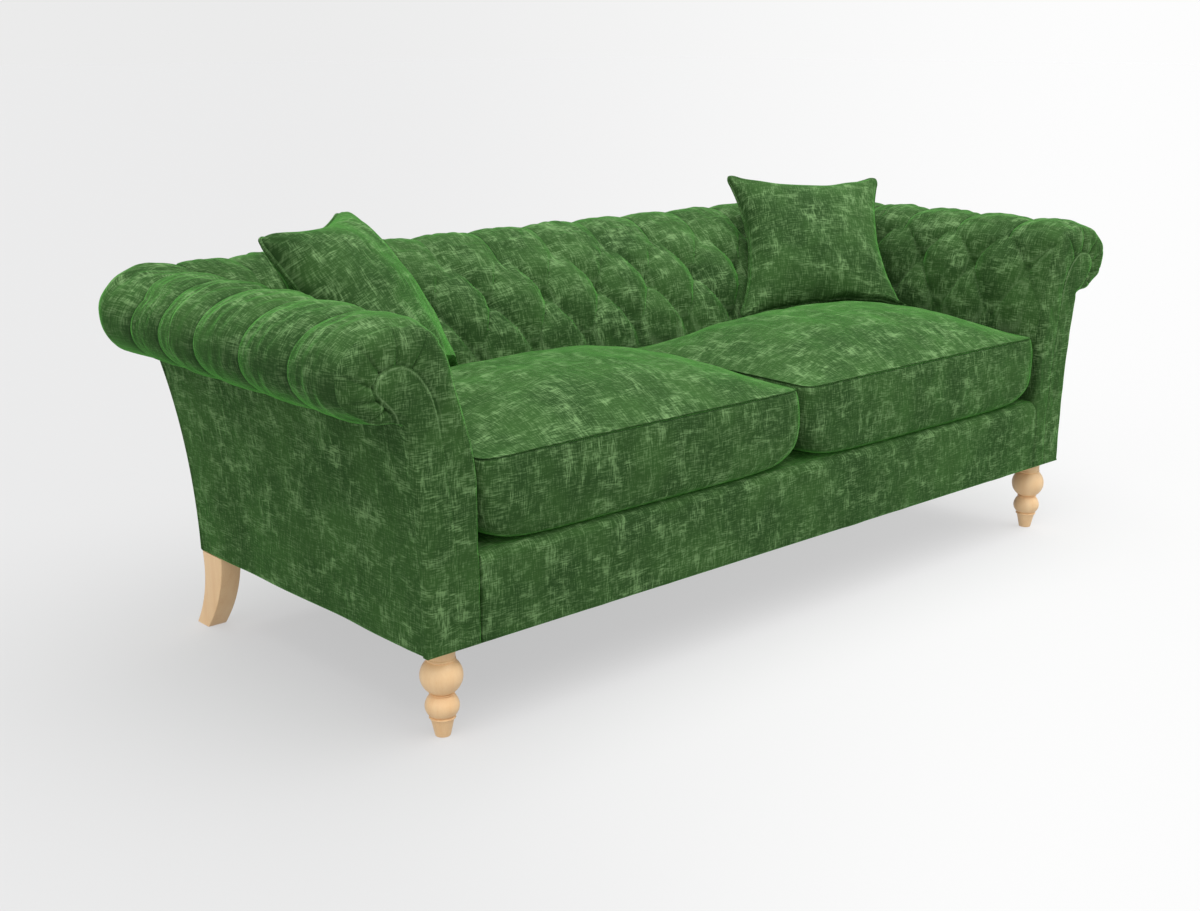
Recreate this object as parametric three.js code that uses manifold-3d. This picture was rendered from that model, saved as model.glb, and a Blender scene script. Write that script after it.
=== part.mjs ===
// A chesterfield sofa: timber frame, webbing, diamond-tufted arms and back with a scrolled roll,
// loose seat and scatter cushions, two turned front legs and two swept back legs.
// Millimetres, +Z up, front towards -Y, length along X, origin under the middle on the floor.
import * as THREE from 'three';
import { mergeVertices } from 'three/addons/utils/BufferGeometryUtils.js';
import Module from 'manifold-3d';

const wasm = await Module();
wasm.setup();

// Driving dimensions of the body
const bodyWidth = 1900; // across the outside panels at the bottom
const bodyDepth = 790; // front of the arm facings to the outside back, at the bottom
const armThickness = 114; // inside arm to outside arm, at the cushions
const backThickness = 225; // inside back to outside back, at the cushions
const underside = 166; // floor to the underside of the body
const railTop = 300; // top of the seat rails
const deckThickness = 27; // padded deck under the seat cushions
const gap = 0.3; // between pieces that touch
const overrun = 5; // cutters pass faces by this

// The roll along the arms and the back, an oval
const armRoll = { reach: 154, height: 655, halfWidth: 110, halfHeight: 78, entry: 125 };
const backRoll = { reach: 235, height: 660, halfWidth: 92, halfHeight: 84, entry: 130 };
// Reach is from the inside face to its centre, height is above the floor, and entry is in degrees
// round it, where the lean of the inside face meets it.
const rollCornerRadius = 86; // of its outermost line at the back corners
const creaseCornerRadius = 20; // of the inside corner between arm and back
const rollSteps = 9;

// The inside face is upright beside the cushions and leans out from there to the roll
const padSetback = 2; // the tufts lie this much behind the cushions' space
const leanStart = 450; // height where it begins to lean
const armLean = { rise: 60, pull: 45 }; // handles of its curve, from its start and before the roll
const backLean = { rise: 70, pull: 120 };
const padLip = 3; // the roll's cover hangs this far outside the top boards, down to the panels

// Tufts: diamonds over three rows, and pleats over the roll
const backPuffs = 10; // pitches along the straight back
const armPuffs = 3.5; // pitches along the straight arm
const cornerPuffs = 4; // pitches round each back corner
const cornerPuffReach = 189; // the corner's great puff runs this far each way from the diagonal
const cornerPuffPower = 2.3; // how it opens out from the inside corner
const cornerPuffLeastShare = 0.1; // of the way from the straight run to the diagonal
const stepsPerPuff = 4;
const cornerHalfSteps = 5; // in half of a corner's great puff
const backCornerRun = 61; // from the inside arm to the end of the straight back
const armCornerRun = 22.5; // from the inside back to the end of the straight arm
const backPuffRise = 30; // the fullest diamond stands this proud of its tufts
const armPuffRise = 19;
const rollPuffRise = 12;
const puffRoundness = 0.62; // lower is fuller

// Panels, facings and border
const panelThickness = 12;
const armFlare = 32; // the outside panels lean out this far at the top
const armFlarePower = 2.6; // a higher power keeps the lean nearer the top
const backFlare = 70;
const backFlarePower = 1.5;
const panelDrop = 80; // their top, below the middle of the lower roll
const panelTop = Math.min(armRoll.height, backRoll.height) - panelDrop;
const facingThickness = 20;
const facingBevel = 3;
const padFrontSetback = 2; // the pad's front, behind the facing's face
const padFrontRadius = 30; // its front edge rounds over
const eyeRadius = 51; // the scroll's eye at the top of the facing
const eyeReach = 156; // its centre, out from the inside arm
const eyeHeight = 626;
const borderRadius = 20;
const borderSteps = 4;

// Timber and webbing
const boardThickness = 25; // top boards under the roll
const railThickness = 40;
const railBottomRise = 2; // seat rails, above the underside
const centreRailHeight = 60;
const uprightThickness = 28;
const uprightShare = 1 / 3; // of the way from the middle to the ends of the back
const tackRailHeight = 40;
const tackRailRise = 16; // above the deck
const blockLength = 95; // corner blocks over the legs
const blockDepth = 75;
const armPadThickness = 60; // pad in front of the arm webbing, beside the cushions
const backPadThickness = 96; // pad in front of the back webbing, behind the cushions
const strapThickness = 1.7;
const strapWidth = 60;
const seatStraps = { across: 3, along: 7 };
const armStraps = { up: 3, across: 2 };
const backStraps = { up: 9, across: 2 };
const coverThickness = 1.5; // cloth stapled under the frame
const hiddenRun = 6; // the pads run this far into the frame before it is cut out

// Seat cushions
const seamRise = 157; // from the deck to the front seam
const crown = 80; // from the seam to the top of the crown
const cushionSideGap = 5; // to the arms
const cushionMiddleGap = 6; // between the two
const cushionFrontSetback = 2;
const cushionBackGap = 10;
const bandBulge = 4; // the front band swells by this
const cornerLift = 42; // the lower corners round up by this
const seatSides = 44;

// Scatter cushions: each leans back by its tip and turns towards its arm. Its middle lies this far
// from the inside arm, in front of the inside back and above the floor.
const leftScatter = { size: 428, turn: 37, tip: 34, fromArm: 122, fromBack: 68, height: 662 };
const rightScatter = { size: 411, turn: 31, tip: 39, fromArm: 206, fromBack: 45, height: 675 };
const scatterHalfThickness = 70;
const scatterRim = 8; // thickness at the sewn edge
const scatterGrid = 14;
const scatterClearance = 4.4; // from what it leans and lies on, where that presses it flat

// Legs and their bolts
const legInset = 56; // turned leg's axis, in from the outside panel
const legFrontInset = 46; // and back from the front
const legSides = 20;
const legTopRadius = 25;
const upperBulbRadius = 37.5;
const filletRadius = 22;
const neckRadius = 19.5;
const lowerBulbRadius = 30;
const ankleRadius = 21;
const ankleRingRadius = 23.5;
const grooveRadius = 19.5;
const footRadius = 14;
const sweptWidth = 45;
const sweptDepth = 75;
const sweptFootWidth = 41;
const sweptFootDepth = 44;
const sweptOutset = 3; // outer face, in from the outside panel
const sweptBackInset = 13; // back face, in from the outside back
const sweptKick = 89; // the foot's front lies this far behind the top's
const sweptChamfer = 2.5;
const sweptSteps = 9;
const boltRadius = 4;
const boltInLeg = 45;
const boltInBlock = 60;
const boltSides = 10;

// Places worked out from the driving dimensions
const frontFace = -bodyDepth / 2;
const backFace = bodyDepth / 2;
const bodyHalf = bodyWidth / 2;
const seatHalf = bodyWidth / 2 - armThickness;
const insideBack = backFace - backThickness;
const frameFront = frontFace + facingThickness + gap;
const frameHalf = bodyHalf - panelThickness - gap;
const frameBack = backFace - panelThickness - gap;
const railBottom = underside + railBottomRise;
const webTop = railTop + gap + strapThickness;
const deckTop = webTop + gap + deckThickness;
const armFrameFace = seatHalf + padSetback + armPadThickness;
const backFrameFace = insideBack + padSetback + backPadThickness;
const postInner = armFrameFace + strapThickness + 2 * gap;
const uprightFront = backFrameFace + strapThickness + 2 * gap;
const boardHalf = bodyHalf + armFlare;
const boardBack = backFace + backFlare;
const boardTop = panelTop + boardThickness;
const blockInner = frameHalf - blockLength;
const frontBlockBack = frameFront + blockDepth;
const backBlockFront = frameBack - blockDepth;
const backRunHalf = seatHalf - backCornerRun;
const armRunBack = insideBack - armCornerRun;
const backPitch = (2 * backRunHalf) / backPuffs;
const armPitch = (armRunBack - frontFace) / armPuffs;

// Materials
const finish = (color, roughness, metalness = 0) =>
  new THREE.MeshStandardMaterial({ color, roughness, metalness });
const velvet = finish(0x3d7a35, 0.9);
const paleWood = finish(0xe3bb8f, 0.45);
const timber = finish(0xc9a676, 0.7);
const webCloth = finish(0x5b5a50, 0.95);
const deckCloth = finish(0x2e5a2a, 0.95);
const blackCloth = finish(0x26262a, 0.95);
const zincSteel = finish(0xb4b7ba, 0.35, 0.9);

const sofa = new THREE.Group();

function addMesh(name, geometry, material) {
  const mesh = new THREE.Mesh(geometry, material);
  mesh.name = name;
  sofa.add(mesh);
  return mesh;
}

// The geometry's other hand, with its faces turned to point out again.
function mirrored(geometry) {
  const copy = mergeVertices(bareCopy(geometry));
  copy.scale(-1, 1, 1);
  copy.setIndex([...copy.index.array].reverse());
  return copy;
}

// Left and right pieces, from the one that is made for the right.
function addPair(name, geometry, material) {
  addMesh(`left_${name}`, mirrored(geometry), material);
  addMesh(`right_${name}`, geometry, material);
}

// Joins and cuts
function bareCopy(geometry) {
  const bare = new THREE.BufferGeometry();
  bare.setAttribute('position', geometry.getAttribute('position').clone());
  if (geometry.index) bare.setIndex(geometry.index.clone());
  return bare;
}

function toSolid(geometry) {
  const merged = mergeVertices(bareCopy(geometry));
  const vertProperties = new Float32Array(merged.attributes.position.array);
  const triVerts = new Uint32Array(merged.index.array);
  return new wasm.Manifold(new wasm.Mesh({ numProp: 3, vertProperties, triVerts }));
}

function toGeometry(solid) {
  const mesh = solid.getMesh();
  const geometry = new THREE.BufferGeometry();
  geometry.setAttribute('position', new THREE.BufferAttribute(mesh.vertProperties, mesh.numProp));
  geometry.setIndex(new THREE.BufferAttribute(mesh.triVerts, 1));
  return geometry;
}

function cut(geometry, ...cutters) {
  return toGeometry(cutters.reduce((rest, cutter) => rest.subtract(toSolid(cutter)), toSolid(geometry)));
}

function join(geometries) {
  return toGeometry(geometries.map(toSolid).reduce((whole, next) => whole.add(next)));
}

function boxBetween(x0, x1, y0, y1, z0, z1) {
  const box = new THREE.BoxGeometry(x1 - x0, y1 - y0, z1 - z0);
  return box.translate((x0 + x1) / 2, (y0 + y1) / 2, (z0 + z1) / 2);
}

// An outline of X and Z, made solid from y0 to y1.
function slabAlongY(outline, y0, y1, bevel = 0) {
  const shape = new THREE.Shape(outline.map(([x, z]) => new THREE.Vector2(x, z)));
  const slab = new THREE.ExtrudeGeometry(shape, {
    depth: y1 - y0 - 2 * bevel, bevelEnabled: bevel > 0, bevelSize: bevel, bevelThickness: bevel,
    bevelOffset: -bevel, bevelSegments: 1, curveSegments: 1,
  });
  return slab.rotateX(Math.PI / 2).translate(0, y1 - bevel, 0);
}

// An outline of Y and Z, made solid from x0 to x1.
function slabAlongX(outline, x0, x1) {
  const shape = new THREE.Shape(outline.map(([y, z]) => new THREE.Vector2(y, z)));
  const slab = new THREE.ExtrudeGeometry(shape, { depth: x1 - x0, bevelEnabled: false });
  return slab.rotateX(Math.PI / 2).rotateZ(Math.PI / 2).translate(x0, 0, 0);
}

// An outline of X and Y, made solid from z0 to z1.
function slabAlongZ(outline, z0, z1) {
  const shape = new THREE.Shape(outline.map(([x, y]) => new THREE.Vector2(x, y)));
  const slab = new THREE.ExtrudeGeometry(shape, { depth: z1 - z0, bevelEnabled: false });
  return slab.translate(0, 0, z0);
}

// A geometry from points and faces, with its faces turned to point out.
function outward(points, faces) {
  let volume = 0;
  for (let i = 0; i < faces.length; i += 3) {
    const [a, b, c] = [points[faces[i]], points[faces[i + 1]], points[faces[i + 2]]];
    volume += a.dot(new THREE.Vector3().crossVectors(b, c));
  }
  if (volume < 0) faces.reverse();
  const geometry = new THREE.BufferGeometry();
  const places = points.flatMap((point) => point.toArray());
  geometry.setAttribute('position', new THREE.Float32BufferAttribute(places, 3));
  geometry.setIndex(faces);
  return geometry;
}

// A closed body from rings of points, each joined to the next. An end is filled over the flat
// outline given for it, or else round the ring's middle. A quad is split along the diagonal that
// rises less, so that a crease runs unbroken from tuft to tuft.
function bodyFromRings(rings, firstFlat, lastFlat) {
  const count = rings[0].length;
  const points = rings.flat();
  const faces = [];
  const rise = (i) => points[i].rise ?? 0;
  for (let r = 0; r + 1 < rings.length; r++) {
    for (let i = 0; i < count; i++) {
      const a = r * count + i;
      const b = r * count + ((i + 1) % count);
      const c = a + count;
      const d = b + count;
      if (rise(a) + rise(d) <= rise(b) + rise(c)) faces.push(a, b, d, a, d, c);
      else faces.push(a, b, c, b, d, c);
    }
  }
  const fill = (start, flat, last) => {
    if (flat) {
      const { area, triangulateShape } = THREE.ShapeUtils;
      for (const [a, b, c] of triangulateShape(flat, [])) {
        const follows = area([flat[a], flat[b], flat[c]]) * area(flat) > 0;
        const kept = follows === last;
        faces.push(start + a, start + (kept ? b : c), start + (kept ? c : b));
      }
      return;
    }
    const middle = new THREE.Vector3();
    for (let i = 0; i < count; i++) middle.addScaledVector(points[start + i], 1 / count);
    points.push(middle);
    for (let i = 0; i < count; i++) {
      const next = start + ((i + 1) % count);
      faces.push(points.length - 1, last ? start + i : next, last ? next : start + i);
    }
  };
  fill(0, firstFlat, false);
  fill((rings.length - 1) * count, lastFlat, true);
  return outward(points, faces);
}

// Tufted pads.
// A level is one line along the arm and the back: how far it lies out from the inside face, its
// height, the direction that its puffs swell in, how far down the diamonds it is (0 at the top row
// of tufts, 1 at the lowest), how far its puffs rise, and how far the corner's puff opens.
// The rows hold shares: along the lean, down the diamonds, and of the full rise.
const leanRowShares = [
  [0, 1, 0], [0.125, 1, 0.2], [0.25, 1, 0.42], [0.425, 0.75, 0.85],
  [0.6, 0.5, 1], [0.76, 0.25, 0.85], [0.92, 0, 0.55],
];
const rollTopShare = 1; // of the roll's puff rise, where the lean meets the roll
const rollEndShare = 0.2; // and at the roll's underside
const hiddenOpenShare = 0.3; // of the corner puff's reach, inside the frame
const bareAlong = new THREE.Vector2(-1, 0);

function padLevels(roll, handles, end, puffRise, frameReach) {
  const middle = new THREE.Vector2(roll.reach, roll.height);
  const onRoll = (angle) => new THREE.Vector2(
    roll.halfWidth * Math.cos(angle), roll.halfHeight * Math.sin(angle)).add(middle);
  const rollOut = (angle) => new THREE.Vector2(
    roll.halfHeight * Math.cos(angle), roll.halfWidth * Math.sin(angle)).normalize();
  const entry = THREE.MathUtils.degToRad(roll.entry);
  const meet = onRoll(entry);
  const { x: facing, y: rising } = rollOut(entry);
  const lean = new THREE.CubicBezierCurve(
    new THREE.Vector2(padSetback, leanStart),
    new THREE.Vector2(padSetback, leanStart + handles.rise),
    new THREE.Vector2(meet.x - handles.pull * rising, meet.y + handles.pull * facing),
    meet,
  );
  const bare = { out: bareAlong, down: 1, rise: 0, open: 0 };
  const levels = [{ ...bare, at: new THREE.Vector2(padSetback, deckTop + gap) }];
  for (const [along, down, share] of leanRowShares) {
    const tangent = lean.getTangent(along);
    const out = new THREE.Vector2(-tangent.y, tangent.x);
    levels.push({ at: lean.getPoint(along), out, down, rise: share * puffRise, open: 0 });
  }
  const last = -Math.acos((end - roll.reach) / roll.halfWidth);
  for (let i = 0; i <= rollSteps; i++) {
    const angle = THREE.MathUtils.lerp(entry, last, i / rollSteps);
    const share = THREE.MathUtils.lerp(rollTopShare, rollEndShare, i / rollSteps);
    const open = ((1 + Math.cos(Math.max(angle, 0))) / 2) ** cornerPuffPower;
    levels.push({ at: onRoll(angle), out: rollOut(angle), down: 0, rise: share * rollPuffRise, open });
  }
  levels.push({ ...bare, at: new THREE.Vector2(end, panelTop + gap), open: 1 });
  for (const height of [(panelTop + boardTop) / 2, deckTop + gap]) {
    const at = new THREE.Vector2(frameReach + hiddenRun, height);
    levels.push({ ...bare, at, open: hiddenOpenShare, hidden: true });
  }
  return levels;
}

const armLevels = padLevels(armRoll, armLean, boardHalf + padLip - seatHalf, armPuffRise,
  armFrameFace - seatHalf);
const backLevels = padLevels(backRoll, backLean, boardBack + padLip - insideBack, backPuffRise,
  backFrameFace - insideBack);

// Height of a puff: 0 on the creases, 1 at the middle of a diamond or between two pleats.
function puff(count, down) {
  const one = Math.abs(Math.sin(Math.PI * (count + down)));
  const other = Math.abs(Math.sin(Math.PI * (count - down)));
  return (one * other) ** puffRoundness;
}

// How far round a corner a count of pitches lies, and how much of a whole pitch it has there. The
// diagonal has the middle of the great puff, and a pitch and a half on either side of that closes up
// where the corner is short.
function cornerPlace(count, toDiagonal, run, reach) {
  const half = cornerPuffs / 2;
  const past = count - armPuffs;
  const first = past <= half;
  const side = first ? toDiagonal : run - toDiagonal;
  const own = Math.min(Math.max(reach, side * cornerPuffLeastShare), side / 2);
  const plain = (side - own) / (half - 1 / 2);
  const from = first ? past : cornerPuffs - past;
  const outer = Math.min(from, half - 1 / 2);
  const inner = from - outer;
  const distance = outer * plain + inner * 2 * own;
  const room = Math.min(1, (inner > 0 ? 2 * own : plain) / armPitch);
  return { along: first ? distance : run - distance, room };
}

// Where a level runs in plan on the right half, at a count of pitches from the arm's front: along
// the arm, round the corner, then along the back. Turn goes from 0 on the arm to 1 on the back.
function planPlace(arm, back, count) {
  const x = seatHalf + arm.at.x;
  const y = insideBack + back.at.x;
  if (count <= armPuffs) return { x, y: frontFace + count * armPitch, turn: 0, room: 1 };
  const past = count - armPuffs - cornerPuffs;
  if (past >= 0) return { x: backRunHalf - past * backPitch, y, turn: 1, room: 1 };
  const armSetIn = armRoll.reach + armRoll.halfWidth - arm.at.x;
  const backSetIn = backRoll.reach + backRoll.halfWidth - back.at.x;
  const ownRadius = rollCornerRadius - (armSetIn + backSetIn) / 2;
  const radius = arm.hidden ? 0 : Math.max(creaseCornerRadius, ownRadius);
  const armRun = y - radius - armRunBack;
  const arc = (radius * Math.PI) / 2;
  const run = armRun + arc + x - radius - backRunHalf;
  const { along, room } = cornerPlace(count, armRun + arc / 2, run, cornerPuffReach * arm.open);
  if (along < armRun) return { x, y: armRunBack + along, turn: 0, room };
  if (along > armRun + arc) return { x: x - radius - (along - armRun - arc), y, turn: 1, room };
  const turn = arc > 0 ? (along - armRun) / arc : 1;
  const angle = (turn * Math.PI) / 2;
  return { x: x + radius * (Math.cos(angle) - 1), y: y + radius * (Math.sin(angle) - 1), turn, room };
}

// One ring round the pad at a count of pitches, drawn in by inset. Each point keeps its rise, and
// its place in the ring's own plane.
function padRing(count, inset = 0) {
  return armLevels.map((arm, i) => {
    const back = backLevels[i];
    const { x, y, turn, room } = planPlace(arm, back, count);
    const mix = (a, b) => THREE.MathUtils.lerp(a, b, turn);
    const calm = arm.down > 0 ? THREE.MathUtils.smoothstep(count, 0, 1) : 1;
    const rise = calm * room * mix(arm.rise * puff(count, arm.down), back.rise * puff(count, back.down));
    const push = arm.hidden ? 0 : rise - inset;
    const out = mix(arm.out.x, back.out.x) * push;
    const height = mix(arm.at.y, back.at.y) + mix(arm.out.y, back.out.y) * push;
    const heading = (turn * Math.PI) / 2;
    const point = new THREE.Vector3(x + out * Math.cos(heading), y + out * Math.sin(heading), height);
    point.rise = rise;
    point.flat = new THREE.Vector2(mix(arm.at.x, back.at.x) + out, height);
    return point;
  });
}

const flatOf = (ring) => ring.map((point) => point.flat);
const mitreCount = armPuffs + cornerPuffs / 2;

// The frame's room, cut out of the pads' hidden side.
function frameRoom() {
  const armOutline = [[armFrameFace, railTop], [boardHalf + gap, railTop],
    [boardHalf + gap, boardTop + gap], [armFrameFace, boardTop + gap]];
  const backOutline = [[backFrameFace, railTop], [boardBack + gap, railTop],
    [boardBack + gap, boardTop + gap], [backFrameFace, boardTop + gap]];
  const arm = slabAlongY(armOutline, frameFront - gap, boardBack + gap);
  const back = slabAlongX(backOutline, -boardHalf - gap, boardHalf + gap);
  return [arm, back];
}

// The arm's facing: the arm's outline from the floor side up, with the scroll's eye at its top.
// Flare shares go up the outside panel. The others go out to the eye's centre and up to it.
const flareShares = [0.3, 0.6, 0.8, 0.94];
const neckShares = [[1.005, 0.9], [1.08, 0.925], [1.2, 0.955]];
const innerLeanShares = [[0.455, 0.961], [0.277, 0.938], [0.165, 0.88], [0.08, 0.79], [0.01, 0.72]];
const eyeStart = -12; // degrees round the eye, from its neck over the top to the inner crease
const eyeEnd = 193;
const eyeSteps = 12;

function facingOutline() {
  const points = [[seatHalf, underside], [bodyHalf, underside]];
  for (const share of flareShares) {
    const height = THREE.MathUtils.lerp(underside, panelTop, share);
    points.push([bodyHalf + armFlare * share ** armFlarePower, height]);
  }
  const place = ([out, up]) => [seatHalf + out * eyeReach, underside + up * (eyeHeight - underside)];
  points.push(...neckShares.map(place));
  for (let i = 0; i <= eyeSteps; i++) {
    const angle = THREE.MathUtils.degToRad(THREE.MathUtils.lerp(eyeStart, eyeEnd, i / eyeSteps));
    points.push([seatHalf + eyeReach + eyeRadius * Math.cos(angle), eyeHeight + eyeRadius * Math.sin(angle)]);
  }
  points.push(...innerLeanShares.map(place));
  return points;
}

// An outline with each of its sides, in anticlockwise order, moved out.
function grown(outline, by) {
  const corners = outline.map(([x, y]) => new THREE.Vector2(x, y));
  const sideOut = (from, to) => new THREE.Vector2(to.y - from.y, from.x - to.x).normalize();
  return corners.map((corner, i) => {
    const turned = sideOut(corners.at(i - 1), corner).add(sideOut(corner, corners[(i + 1) % corners.length]));
    return corner.clone().addScaledVector(turned, (2 * by) / turned.lengthSq()).toArray();
  });
}

// The counts after one, up to and with another, in even steps.
function stepsBetween(from, to, step) {
  const steps = Math.round((to - from) / step);
  return Array.from({ length: steps }, (_, i) => from + ((to - from) * (i + 1)) / steps);
}

// The arm pad's front edge, in shares of its radius: back from the front, and drawn in.
const padFrontShares = [[padFrontSetback / padFrontRadius, 1], [0.3, 0.35], [1, 0.08]];

function addPads() {
  const armRings = padFrontShares.map(([from, drawn]) =>
    padRing((from * padFrontRadius) / armPitch, drawn * padFrontRadius));
  armRings.push(...stepsBetween(0, mitreCount - 1 / 2, 1 / stepsPerPuff).map((count) => padRing(count)));
  const corner = stepsBetween(mitreCount - 1 / 2, mitreCount, 1 / (2 * cornerHalfSteps));
  armRings.push(...corner.map((count) => padRing(count)));
  const armBody = bodyFromRings(armRings, flatOf(armRings[0]), flatOf(armRings.at(-1)));
  const pocket = slabAlongY(grown(facingOutline(), gap), frontFace - overrun, frameFront);
  addPair('arm_pad', cut(armBody, ...frameRoom(), pocket), velvet);

  const middleCount = mitreCount + (cornerPuffs + backPuffs) / 2;
  const backRings = [padRing(mitreCount)];
  for (const count of stepsBetween(mitreCount, mitreCount + 1 / 2, 1 / (2 * cornerHalfSteps))) {
    backRings.push(padRing(count));
  }
  for (const count of stepsBetween(mitreCount + 1 / 2, middleCount, 1 / stepsPerPuff)) {
    backRings.push(padRing(count));
  }
  const clear = new THREE.Vector3(-1, 1, 0).setLength(gap);
  for (const point of backRings[0]) point.add(clear);
  const flip = ({ x, y, z, rise, flat }) => Object.assign(new THREE.Vector3(-x, y, z), { rise, flat });
  backRings.push(...backRings.slice(0, -1).reverse().map((ring) => ring.map(flip)));
  const backBody = bodyFromRings(backRings, flatOf(backRings[0]), flatOf(backRings.at(-1)));
  const [arm, back] = frameRoom();
  return addMesh('back_pad', cut(backBody, arm, mirrored(arm), back), velvet);
}

// Outside panels: upright below, flaring out to the roll, and mitred at the back corners.
const panelShares = [0, 0.3, 0.45, 0.6, 0.7, 0.8, 0.9, 1];

function flaredPanel(corners) {
  const rings = panelShares.map((share) => {
    const height = THREE.MathUtils.lerp(underside, panelTop - gap, share);
    const outerX = bodyHalf + armFlare * share ** armFlarePower;
    const outerY = backFace + backFlare * share ** backFlarePower;
    return corners(outerX, outerY).map(([x, y]) => new THREE.Vector3(x, y, height));
  });
  return bodyFromRings(rings);
}

function addPanels() {
  const inner = panelThickness;
  const armPanel = flaredPanel((x, y) => [
    [x, frameFront], [x, y], [x - inner, y - inner], [x - inner, frameFront],
  ]);
  addPair('outside_arm', armPanel, velvet);
  const mitreGap = gap * Math.SQRT2;
  const backPanel = flaredPanel((x, y) => {
    const end = x - mitreGap;
    return [[end, y], [-end, y], [inner - end, y - inner], [end - inner, y - inner]];
  });
  addMesh('outside_back', backPanel, velvet);
  addPair('arm_facing', slabAlongY(facingOutline(), frontFace, frameFront - gap, facingBevel), velvet);

  const borderOutline = [[frontFace, underside]];
  for (let i = 0; i <= borderSteps; i++) {
    const angle = Math.PI * (1 - i / (2 * borderSteps));
    borderOutline.push([frontFace + borderRadius * (1 + Math.cos(angle)),
      deckTop + borderRadius * (Math.sin(angle) - 1)]);
  }
  borderOutline.push([frameFront - gap, underside]);
  addMesh('front_border', slabAlongX(borderOutline, gap - seatHalf, seatHalf - gap), velvet);
}

// Timber frame
function hangerBolt(x, y) {
  const bolt = new THREE.CylinderGeometry(boltRadius, boltRadius, boltInLeg + boltInBlock, boltSides);
  return bolt.rotateX(Math.PI / 2).translate(x, y, underside + (boltInBlock - boltInLeg) / 2);
}

function boltHole(x, y) {
  const radius = boltRadius + gap;
  const hole = new THREE.CylinderGeometry(radius, radius, boltInLeg + boltInBlock + 2 * gap, boltSides);
  return hole.rotateX(Math.PI / 2).translate(x, y, underside + (boltInBlock - boltInLeg) / 2);
}

const turnedLegPlace = [bodyHalf - legInset, frontFace + legFrontInset];
const sweptLegPlace = [bodyHalf - sweptOutset - sweptWidth / 2, backFace - sweptBackInset - sweptDepth / 2];

function addFrame() {
  const frontBlock = boxBetween(blockInner, frameHalf, frameFront, frontBlockBack, underside, railTop);
  const backBlock = boxBetween(blockInner, frameHalf, backBlockFront, frameBack, underside, railTop);
  addPair('front_leg_block', cut(frontBlock, boltHole(...turnedLegPlace)), timber);
  addPair('back_leg_block', cut(backBlock, boltHole(...sweptLegPlace)), timber);

  const railEnd = blockInner - gap;
  const frontRailBack = frameFront + railThickness;
  const backRailFront = frameBack - railThickness;
  const seatRailFront = backFrameFace - railThickness;
  const sideRailInner = frameHalf - railThickness;
  addMesh('front_rail', boxBetween(-railEnd, railEnd, frameFront, frontRailBack,
    railBottom, railTop), timber);
  addMesh('back_rail', boxBetween(-railEnd, railEnd, backRailFront, frameBack,
    railBottom, railTop), timber);
  addPair('side_rail', boxBetween(sideRailInner, frameHalf, frontBlockBack + gap, backBlockFront - gap,
    railBottom, railTop), timber);
  const seatRailHalf = sideRailInner - gap;
  addMesh('rear_seat_rail', boxBetween(-seatRailHalf, seatRailHalf, seatRailFront, backFrameFace,
    railBottom, railTop), timber);
  addMesh('centre_seat_rail', boxBetween(-railThickness / 2, railThickness / 2, frontRailBack + gap,
    seatRailFront - gap, railBottom, railBottom + centreRailHeight), timber);

  const postBottom = railTop + gap;
  const postTop = panelTop - gap;
  addPair('arm_front_post', boxBetween(postInner, frameHalf, frameFront, frontRailBack,
    postBottom, postTop), timber);
  addPair('back_corner_post', boxBetween(postInner, frameHalf, uprightFront, frameBack,
    postBottom, postTop), timber);
  addPair('arm_top_board', boxBetween(postInner, boardHalf, frameFront, boardBack,
    panelTop, boardTop), timber);
  const boardEnd = postInner - gap;
  addMesh('back_top_board', boxBetween(-boardEnd, boardEnd, uprightFront, boardBack,
    panelTop, boardTop), timber);

  const tackBottom = deckTop + tackRailRise;
  const tackTop = tackBottom + tackRailHeight;
  addPair('arm_tack_rail', boxBetween(postInner, postInner + uprightThickness, frontRailBack + gap,
    uprightFront - gap, tackBottom, tackTop), timber);
  const tackBack = uprightFront + uprightThickness;
  addMesh('back_tack_rail', boxBetween(-boardEnd, boardEnd, uprightFront, tackBack,
    tackBottom, tackTop), timber);
  const uprightX = boardEnd * uprightShare;
  const housing = boxBetween(-boardEnd, boardEnd, uprightFront - overrun, tackBack + gap,
    tackBottom - gap, tackTop + gap);
  const upright = boxBetween(uprightX, uprightX + uprightThickness, uprightFront, frameBack,
    postBottom, postTop);
  addPair('back_upright', cut(upright, housing), timber);
}

// Webbing: crossed straps on the seat rails, and inside the arms and the back.
function spread(count, from, to) {
  return Array.from({ length: count }, (_, i) => from + ((to - from) * (i + 1 / 2)) / count);
}

function addWebbing() {
  const half = strapWidth / 2;
  const seatZ = railTop + gap;
  const seat = [];
  for (const x of spread(seatStraps.along, -blockInner, blockInner)) {
    seat.push(boxBetween(x - half, x + half, frameFront, backFrameFace, seatZ, webTop));
  }
  for (const y of spread(seatStraps.across, frontBlockBack, backFrameFace - railThickness)) {
    seat.push(boxBetween(-frameHalf, frameHalf, y - half, y + half, seatZ, webTop));
  }
  addMesh('seat_webbing', join(seat), webCloth);

  const low = deckTop + tackRailRise;
  const armX = armFrameFace + gap;
  const arm = spread(armStraps.up, frameFront + railThickness, backFrameFace).map((y) =>
    boxBetween(armX, armX + strapThickness, y - half, y + half, low, boardTop));
  for (const z of spread(armStraps.across, low, panelTop)) {
    arm.push(boxBetween(armX, armX + strapThickness, frameFront, backFrameFace, z - half, z + half));
  }
  addPair('arm_webbing', join(arm), webCloth);

  const backY = backFrameFace + gap;
  const backEnd = armFrameFace - gap;
  const back = spread(backStraps.up, -backEnd, backEnd).map((x) =>
    boxBetween(x - half, x + half, backY, backY + strapThickness, low, boardTop));
  for (const z of spread(backStraps.across, low, panelTop)) {
    back.push(boxBetween(-backEnd, backEnd, backY, backY + strapThickness, z - half, z + half));
  }
  addMesh('back_webbing', join(back), webCloth);
}

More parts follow.
